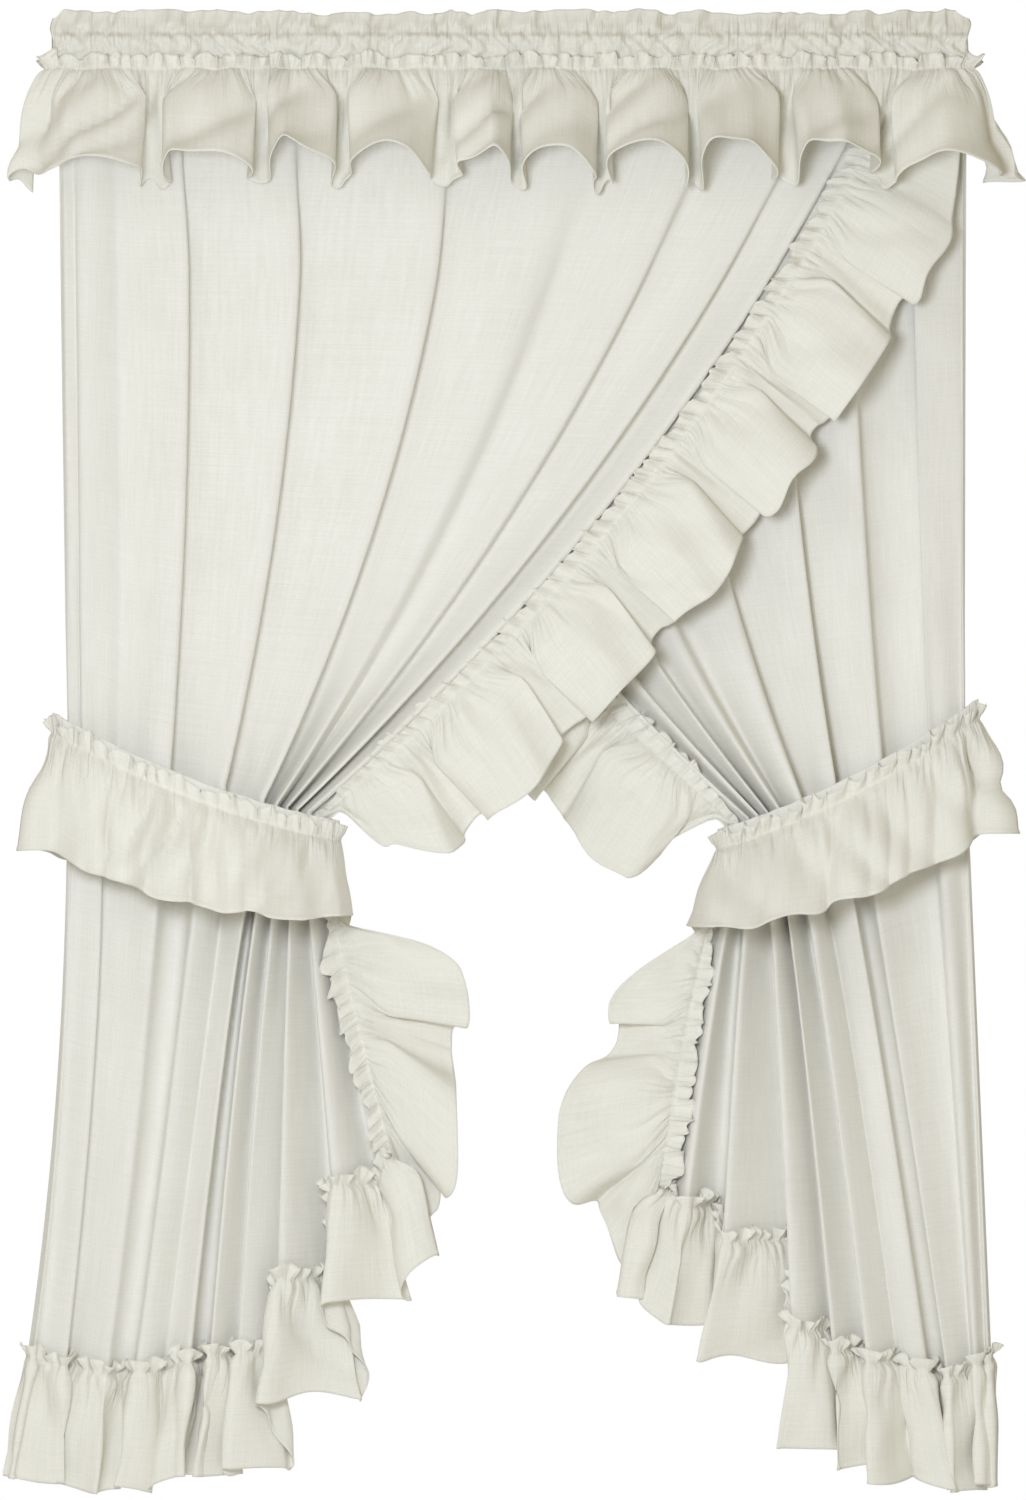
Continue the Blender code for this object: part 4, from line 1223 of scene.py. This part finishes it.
class Finish(Nodes):
    """A material under construction."""

    def __init__(self, name):
        self.material = bpy.data.materials.new(name)
        self.material.use_nodes = True
        super().__init__(self.material.node_tree)

    def blend(self, share, a, b):
        """Two colours mixed by a share."""
        return self.node("ShaderNodeMix", {"data_type": "RGBA"}, {0: share, 6: a, 7: b}, 2)

    def stretched(self, place, scale):
        return self.node("ShaderNodeMapping", {}, {"Vector": place, "Scale": scale})

    def noise(self, place, scale, detail):
        sockets = {"Vector": place, "Scale": scale, "Detail": detail}
        return self.node("ShaderNodeTexNoise", {}, sockets)

    def mottle(self, place, kind):
        """Noise that changes at its own rate across and down the cloth."""
        return self.noise(self.stretched(place, (kind.across, kind.down, 1.0)), 1.0, kind.detail)

    def threads(self, place, axis, pitch):
        """The threads of a weave, side by side along an axis."""
        many = WAVE_BAND / pitch
        scale = (many, 0.0, 0.0) if axis == "X" else (0.0, many, 0.0)
        bands = {"wave_type": "BANDS", "bands_direction": axis}
        sockets = {"Vector": self.stretched(place, scale), "Scale": 1.0}
        return self.node("ShaderNodeTexWave", bands, sockets, 1)

    def shown(self, **sockets):
        """The material with a Principled surface, its spaces in names written as underscores."""
        named = {key.replace("_", " "): value for key, value in sockets.items()}
        surface = self.node("ShaderNodeBsdfPrincipled", {}, named)
        self.node("ShaderNodeOutputMaterial", {}, {"Surface": surface})
        return self.material


def tint(colour, share):
    """A colour made deeper or paler, all of it or its red, green and blue apart, and opaque."""
    shares = share if isinstance(share, tuple) else (share,) * 3
    return tuple(min(1.0, c * k) for c, k in zip(colour, shares)) + (1.0,)


def gathered_creases(made, flat):
    """Creases pressed into cloth where it runs out from a gathered seam."""
    up = made.node("ShaderNodeSeparateXYZ", {}, {"Vector": flat}, 1)
    reach = {"Value": abs(up), **CREASES_RUN}
    near = made.node("ShaderNodeMapRange", {"interpolation_type": "SMOOTHSTEP"}, reach)
    fine = abs(made.mottle(flat, FINE_CREASES) * 2.0 - 1.0) ** 0.6
    coarse = abs(made.mottle(flat, COARSE_CREASES) * 2.0 - 1.0) ** 0.6
    return {"Height": (fine * 0.3 + coarse) * near, "Strength": GATHERED_SHOWS}


def crossed_creases(made, flat):
    """Soft creases all over flat cloth."""
    return {"Height": made.mottle(flat, CROSSED_CREASES), "Strength": CROSSED_SHOWS}


def cloth_finish(name, colour, thread_pitch, creased):
    """Plain-weave cotton: fine threads both ways, thicker ones here and there, a soft nap, and
    pressed creases."""
    made = Finish(name)
    flat = made.node("ShaderNodeUVMap", {"uv_map": "Cloth"}, {})
    warp, weft = (made.threads(flat, axis, thread_pitch) for axis in "XY")
    slub = made.mottle(flat, WARP_SLUB) * 0.5 + made.mottle(flat, WEFT_SLUB) * 0.4
    slub = slub + made.mottle(flat, GRAIN) * 0.4
    tone = slub * 1.4 + made.mottle(flat, CLOUDY) * 0.4 + warp * weft * 0.15 - 0.52
    height = warp * 0.5 + weft * 0.5 + slub * 1.4
    relief = {"Height": height, "Strength": WEAVE_SHOWS, "Distance": WEAVE_DEPTH}
    pressed = {"Distance": CREASE_DEPTH, "Normal": made.node("ShaderNodeBump", {}, relief)}
    pressed.update(creased(made, flat))
    return made.shown(
        Base_Color=made.blend(tone, tint(colour, DEEP_CLOTH), tint(colour, PALE_CLOTH)),
        Roughness=slub * 0.12 + 0.8,
        Normal=made.node("ShaderNodeBump", {}, pressed),
        Specular_IOR_Level=0.25,
        Sheen_Weight=0.12,
        Sheen_Roughness=0.5,
    )


def thread_finish(colour):
    """Twisted sewing thread."""
    made = Finish("sewing_thread")
    twist = made.noise(made.node("ShaderNodeTexCoord", output=3), 2600.0, 2.0)
    base = made.blend(twist, tint(colour, DEEP_THREAD), tint(colour, 1.0))
    return made.shown(Base_Color=base, Roughness=twist * 0.2 + 0.6, Specular_IOR_Level=0.3)


def finish_of(slot):
    """The cloth for a slot of the record, made once: flat for the panels and bands, gathered for
    the heading and ruffles."""
    settings = bpy.context.scene.curtain_cloth
    if slot == "panel_cloth":
        name, colour, creased = "flat_weave", settings.panel_colour, crossed_creases
    else:
        name, colour, creased = "gathered_weave", settings.ruffle_colour, gathered_creases
    if name not in bpy.data.materials:
        cloth_finish(name, colour, settings.thread_pitch, creased)
    return bpy.data.materials[name]


def ring(bm, outline):
    """Corners of the heading round an outline."""
    return [bm.verts.new(Vector(point) * MM) for point in outline]


def skin(bm, near, far):
    """Faces from one ring to the next."""
    for i, here in enumerate(near):
        after = (i + 1) % len(near)
        bm.faces.new((here, near[after], far[after], far[i]))


def rim(bm, points):
    """The edges round a ring."""
    return [bm.edges.get((points[i], points[i - 1])) for i in range(len(points))]


def heading_mesh(places):
    """The doubled cloth of the frill and pocket at places along it, the pocket open at both ends,
    with a UV map in metres of flat cloth."""
    bm = bmesh.new()
    outer = [ring(bm, heading_section(x)) for x in places]
    inner = [ring(bm, pocket_section(x)) for x in (places[0], places[-1])]
    for near, far in zip(outer, outer[1:]):
        skin(bm, near, far)
    skin(bm, inner[1], inner[0])
    for outside, hole in ((outer[0], inner[0]), (outer[-1], inner[1])):
        bmesh.ops.bridge_loops(bm, edges=rim(bm, outside) + rim(bm, hole))
    bmesh.ops.recalc_face_normals(bm, faces=bm.faces)
    uv = bm.loops.layers.uv.new("Cloth")
    for face in bm.faces:
        for loop in face.loops:
            place = loop.vert.co
            across, up = HEADING_FULLNESS * place.x, HEADING_DOUBLED * (place.z - POCKET_TOP * MM)
            loop[uv].uv = (across, up)
    mesh = bpy.data.meshes.new("heading_cloth")
    bm.to_mesh(mesh)
    bm.free()
    return mesh


def heading_seams(places):
    """The two lines of stitching across the front, above and below the pocket."""
    rows = []
    for height in HEADING_STITCHED:
        line = []
        for x in places:
            front = heading_section(x)[:HEADING_ROWS]
            nearest = min(front, key=lambda point: abs(point[2] - height))
            line.append((Vector((x, nearest[1], height)) * MM, Vector((0, -1, 0))))
        rows.append(line)
    return rows


class CURTAINS_OT_heading(bpy.types.Operator):
    """Build the frill and the empty rod pocket"""

    bl_idname = "curtains.heading"
    bl_label = "Heading"

    def execute(self, context):
        places = [mix(HEAD_LEFT, HEAD_RIGHT, k / HEADING_STEPS) for k in range(HEADING_STEPS + 1)]
        cloth, slot = finish_of("heading_cloth"), "heading_cloth"
        piece = new_piece("heading_cloth", heading_mesh(places), cloth, slot, "heading")
        SEAMS["heading_stitches"] = heading_seams(places)
        return {"FINISHED"}


class CURTAINS_OT_valance(bpy.types.Operator):
    """Build the gathered ruffle across the top"""

    bl_idname = "curtains.valance"
    bl_label = "Valance ruffle"

    def execute(self, context):
        grid = valance_grid(context.scene.curtain_cloth)
        add_ruffle("valance", "valance_ruffle", grid, VALANCE_CUT, "heading_cloth")
        return {"FINISHED"}


class CURTAINS_OT_panels(bpy.types.Operator):
    """Build the two panels and the ruffles sewn round them"""

    bl_idname = "curtains.panels"
    bl_label = "Panels and edge ruffles"

    def execute(self, context):
        cloth, slot = context.scene.curtain_cloth, "panel_cloth"
        for name, panel, _ in SIDES:
            sheet, node = name + "_panel_cloth", name + "_panel"
            grid = panel_grid(panel)
            outward = facing_out(panel, grid)
            add_sheet(sheet, node, outward, slot, PANEL_CUT, "heading_cloth")
            strip, node = ruffle_grid(cloth, panel, grid), name + "_edge_ruffle"
            add_ruffle(name + "_ruffle", node, strip, RUFFLE_CUT, sheet, panel)
        return {"FINISHED"}


class CURTAINS_OT_tiebacks(bpy.types.Operator):
    """Build the two tiebacks, each a band with a ruffle"""

    bl_idname = "curtains.tiebacks"
    bl_label = "Tiebacks"

    def execute(self, context):
        cloth, slot = context.scene.curtain_cloth, "panel_cloth"
        for name, _, tie in SIDES:
            band, node, panel = name + "_band_cloth", name + "_tie_band", name + "_panel_cloth"
            add_sheet(band, node, band_grid(tie), slot, BAND_CUT, panel, BAND_EDGE_ROWS)
            strip, node = tie_ruffle_grid(cloth, tie), name + "_tie_ruffle"
            add_ruffle(name + "_tie", node, strip, TIE_RUFFLE_CUT, band)
        return {"FINISHED"}


def stitch_tree():
    """Geometry Nodes that lay stitches end to end along lines, flat on the cloth."""
    tree = bpy.data.node_groups.new("Stitching", "GeometryNodeTree")
    given = (("Pitch", "Float"), ("Length", "Float"), ("Thread", "Float"), ("Finish", "Material"))
    for name, kind in (("Geometry", "Geometry"),) + given:
        tree.interface.new_socket(name, in_out="INPUT", socket_type="NodeSocket" + kind)
    tree.interface.new_socket("Geometry", in_out="OUTPUT", socket_type="NodeSocketGeometry")
    made = Nodes(tree)
    lines, pitch, length, thread, finish = (
        made.node("NodeGroupInput", output=name)
        for name in ("Geometry", "Pitch", "Length", "Thread", "Finish")
    )
    curve = made.node("GeometryNodeMeshToCurve", {}, {0: lines})
    spacing = {"Curve": curve, "Length": pitch}
    points = made.node("GeometryNodeResampleCurve", {"mode": "LENGTH"}, spacing)
    bead = made.node("GeometryNodeMeshIcoSphere", {}, {"Radius": 0.5})
    named = {"data_type": "FLOAT_VECTOR"}
    up = made.node("GeometryNodeInputNamedAttribute", named, {"Name": "up"}, "Attribute")
    tangent = made.node("GeometryNodeInputTangent")
    align = "FunctionNodeAlignRotationToVector"
    ahead = made.node(align, {"axis": "X"}, {"Vector": tangent})
    level = made.node(align, {"axis": "Z", "pivot_axis": "X"}, {"Rotation": ahead, "Vector": up})
    size = {"X": length, "Y": thread, "Z": thread * STITCH_HEIGHT}
    laid = {"Points": points, "Instance": bead, "Rotation": level}
    laid["Scale"] = made.node("ShaderNodeCombineXYZ", {}, size)
    stitches = made.node("GeometryNodeInstanceOnPoints", {}, laid)
    real = made.node("GeometryNodeRealizeInstances", {}, {0: stitches})
    dressed = made.node("GeometryNodeSetMaterial", {}, {"Geometry": real, "Material": finish})
    made.node("NodeGroupOutput", {}, {0: dressed})
    return tree


def sewn(name, lines, tree, values):
    """Stitches along lines of (place, normal) pairs, as a plain mesh."""
    mesh = bpy.data.meshes.new(name + "_lines")
    points, edges, ups = [], [], []
    for line in lines:
        start = len(points)
        points += [place for place, normal in line]
        ups += [normal for place, normal in line]
        edges += [(start + k, start + k + 1) for k in range(len(line) - 1)]
    mesh.from_pydata(points, edges, [])
    attribute = mesh.attributes.new("up", "FLOAT_VECTOR", "POINT")
    attribute.data.foreach_set("vector", [c for up in ups for c in up])
    guide = bpy.data.objects.new(name + "_lines", mesh)
    bpy.context.scene.collection.objects.link(guide)
    modifier = guide.modifiers.new("Stitching", "NODES")
    modifier.node_group = tree
    for item in tree.interface.items_tree:
        if item.in_out == "INPUT" and item.name in values:
            modifier[item.identifier] = values[item.name]
    evaluated = guide.evaluated_get(bpy.context.evaluated_depsgraph_get())
    made = bpy.data.meshes.new_from_object(evaluated)
    made.name = name
    bpy.data.objects.remove(guide)
    return made


class CURTAINS_OT_stitching(bpy.types.Operator):
    """Sew the seams and hems of the pieces that are built"""

    bl_idname = "curtains.stitching"
    bl_label = "Stitching"

    def execute(self, context):
        settings = context.scene.curtain_stitches
        tree = stitch_tree()
        finish = thread_finish(settings.colour)
        values = {"Pitch": settings.pitch, "Length": settings.length}
        values.update({"Thread": settings.thread, "Finish": finish})
        for name, lines in SEAMS.items():
            new_piece(name, sewn(name, lines, tree, values), finish, "ruffle_cloth")
        return {"FINISHED"}


def add_floor(scene, settings):
    """A round floor that fades into the white round it."""
    bm = bmesh.new()
    bmesh.ops.create_circle(bm, cap_ends=True, segments=96, radius=FLOOR_RADIUS)
    bmesh.ops.translate(bm, verts=bm.verts, vec=(0, 0, settings.floor_height))
    mesh = bpy.data.meshes.new("floor")
    bm.to_mesh(mesh)
    bm.free()
    mesh.materials.append(floor_finish(settings))
    floor = bpy.data.objects.new("floor", mesh)
    scene.collection.objects.link(floor)
    floor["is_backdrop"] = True


def floor_finish(settings):
    """Plain matt paint, clear at the floor's rim."""
    made = Finish("floor_paint")
    place = made.node("ShaderNodeTexCoord", output=3)
    ends = {0: place, 1: (0.0, 0.0, settings.floor_height)}
    away = made.node("ShaderNodeVectorMath", {"operation": "DISTANCE"}, ends, 1)
    fades = {"Value": away, **FLOOR_FADES}
    fade = made.node("ShaderNodeMapRange", {"interpolation_type": "SMOOTHSTEP"}, fades)
    colour = settings.floor_colour
    base = made.blend(made.noise(place, 3.0, 2.0), tint(colour, DEEP_FLOOR), tint(colour, 1.0))
    paint = made.node("ShaderNodeBsdfPrincipled", {}, {"Base Color": base, "Roughness": 0.7})
    clear = made.node("ShaderNodeBsdfTransparent")
    surface = made.node("ShaderNodeMixShader", {}, {0: fade, 1: paint, 2: clear})
    made.node("ShaderNodeOutputMaterial", {}, {"Surface": surface})
    return made.material


def add_room_light(scene, strength):
    """Warm light from all round, and a white room for the camera."""
    world = bpy.data.worlds.new("studio")
    world.use_nodes = True
    made = Nodes(world.node_tree)
    room = made.node("ShaderNodeBackground", {}, {"Color": ROOM_COLOUR, "Strength": strength})
    white = made.node("ShaderNodeBackground", {}, {"Color": WHITE})
    seen = made.node("ShaderNodeLightPath", output="Is Camera Ray")
    either = made.node("ShaderNodeMixShader", {}, {0: seen, 1: room, 2: white})
    made.node("ShaderNodeOutputWorld", {}, {"Surface": either})
    scene.world = world


def add_lamp(scene, lamp, power):
    """A soft round lamp that the camera doesn't see."""
    data = bpy.data.lights.new(lamp.name, "AREA")
    data.shape, data.size = "DISK", lamp.width
    data.energy, data.color = power, LAMP_COLOUR
    made = bpy.data.objects.new(lamp.name, data)
    made.location = lamp.place
    made.rotation_mode = "QUATERNION"
    aim = Vector(LAMP_TARGET) - Vector(lamp.place)
    made.rotation_quaternion = aim.to_track_quat("-Z", "Y")
    made.visible_camera = False
    scene.collection.objects.link(made)


def add_camera(scene, distance):
    """The camera, level, at the photo's view."""
    camera = bpy.data.cameras.new("camera")
    camera.sensor_width = 36.0
    camera.lens = camera.sensor_width * (distance - PICTURE_PLANE) / (PICTURE_HIGH * PIXEL)
    camera.clip_end = 100.0
    eye = bpy.data.objects.new("camera", camera)
    across, up = PICTURE_WIDE / 2 - POCKET_ACROSS, POCKET_DOWN - PICTURE_HIGH / 2
    eye.location = (across * PIXEL, -distance, up * PIXEL)
    eye.rotation_euler = (math.pi / 2, 0, 0)
    scene.collection.objects.link(eye)
    scene.camera = eye


class CURTAINS_OT_studio(bpy.types.Operator):
    """Set the floor, the light and the camera"""

    bl_idname = "curtains.studio"
    bl_label = "Studio"

    def execute(self, context):
        scene, settings = context.scene, context.scene.curtain_studio
        add_floor(scene, settings)
        add_room_light(scene, settings.room_light)
        for lamp in LAMPS:
            add_lamp(scene, lamp, getattr(settings, lamp.name))
        add_camera(scene, settings.camera_distance)
        scene.view_settings.view_transform = "Standard"
        return {"FINISHED"}


class CURTAINS_PT_panel(bpy.types.Panel):
    """The curtains' settings and pieces"""

    bl_idname = "CURTAINS_PT_panel"
    bl_label = "Priscilla curtains"
    bl_space_type = "VIEW_3D"
    bl_region_type = "UI"
    bl_category = "Curtains"

    def draw(self, context):
        scene = context.scene
        for settings in (scene.curtain_cloth, scene.curtain_stitches, scene.curtain_studio):
            box = self.layout.box()
            for name in settings.bl_rna.properties.keys():
                if name not in ("rna_type", "name"):
                    box.prop(settings, name)
        for operator in OPERATORS:
            self.layout.operator(operator.bl_idname)


OPERATORS = (
    CURTAINS_OT_heading,
    CURTAINS_OT_valance,
    CURTAINS_OT_panels,
    CURTAINS_OT_tiebacks,
    CURTAINS_OT_stitching,
    CURTAINS_OT_studio,
)
SETTINGS = (
    ("curtain_cloth", ClothSettings),
    ("curtain_stitches", StitchSettings),
    ("curtain_studio", StudioSettings),
)


def register():
    """Make the settings, the operators and the panel known."""
    for name, group in SETTINGS:
        bpy.utils.register_class(group)
        setattr(bpy.types.Scene, name, PointerProperty(type=group))
    for made in OPERATORS + (CURTAINS_PT_panel,):
        bpy.utils.register_class(made)


def unregister():
    """Take them away again."""
    for made in (CURTAINS_PT_panel,) + OPERATORS[::-1]:
        bpy.utils.unregister_class(made)
    for name, group in SETTINGS[::-1]:
        delattr(bpy.types.Scene, name)
        bpy.utils.unregister_class(group)


def main():
    """Build every piece and the studio, and work out the bounds of the solids and of the pieces."""
    register()
    bpy.ops.curtains.heading()
    bpy.ops.curtains.valance()
    bpy.ops.curtains.panels()
    bpy.ops.curtains.tiebacks()
    bpy.ops.curtains.stitching()
    bpy.ops.curtains.studio()
    boxes = {"cad": CAD_BOX, "visual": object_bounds()}
    {key: [list(corner) for corner in box] for key, box in boxes.items()}


if __name__ == "__main__":
    main()
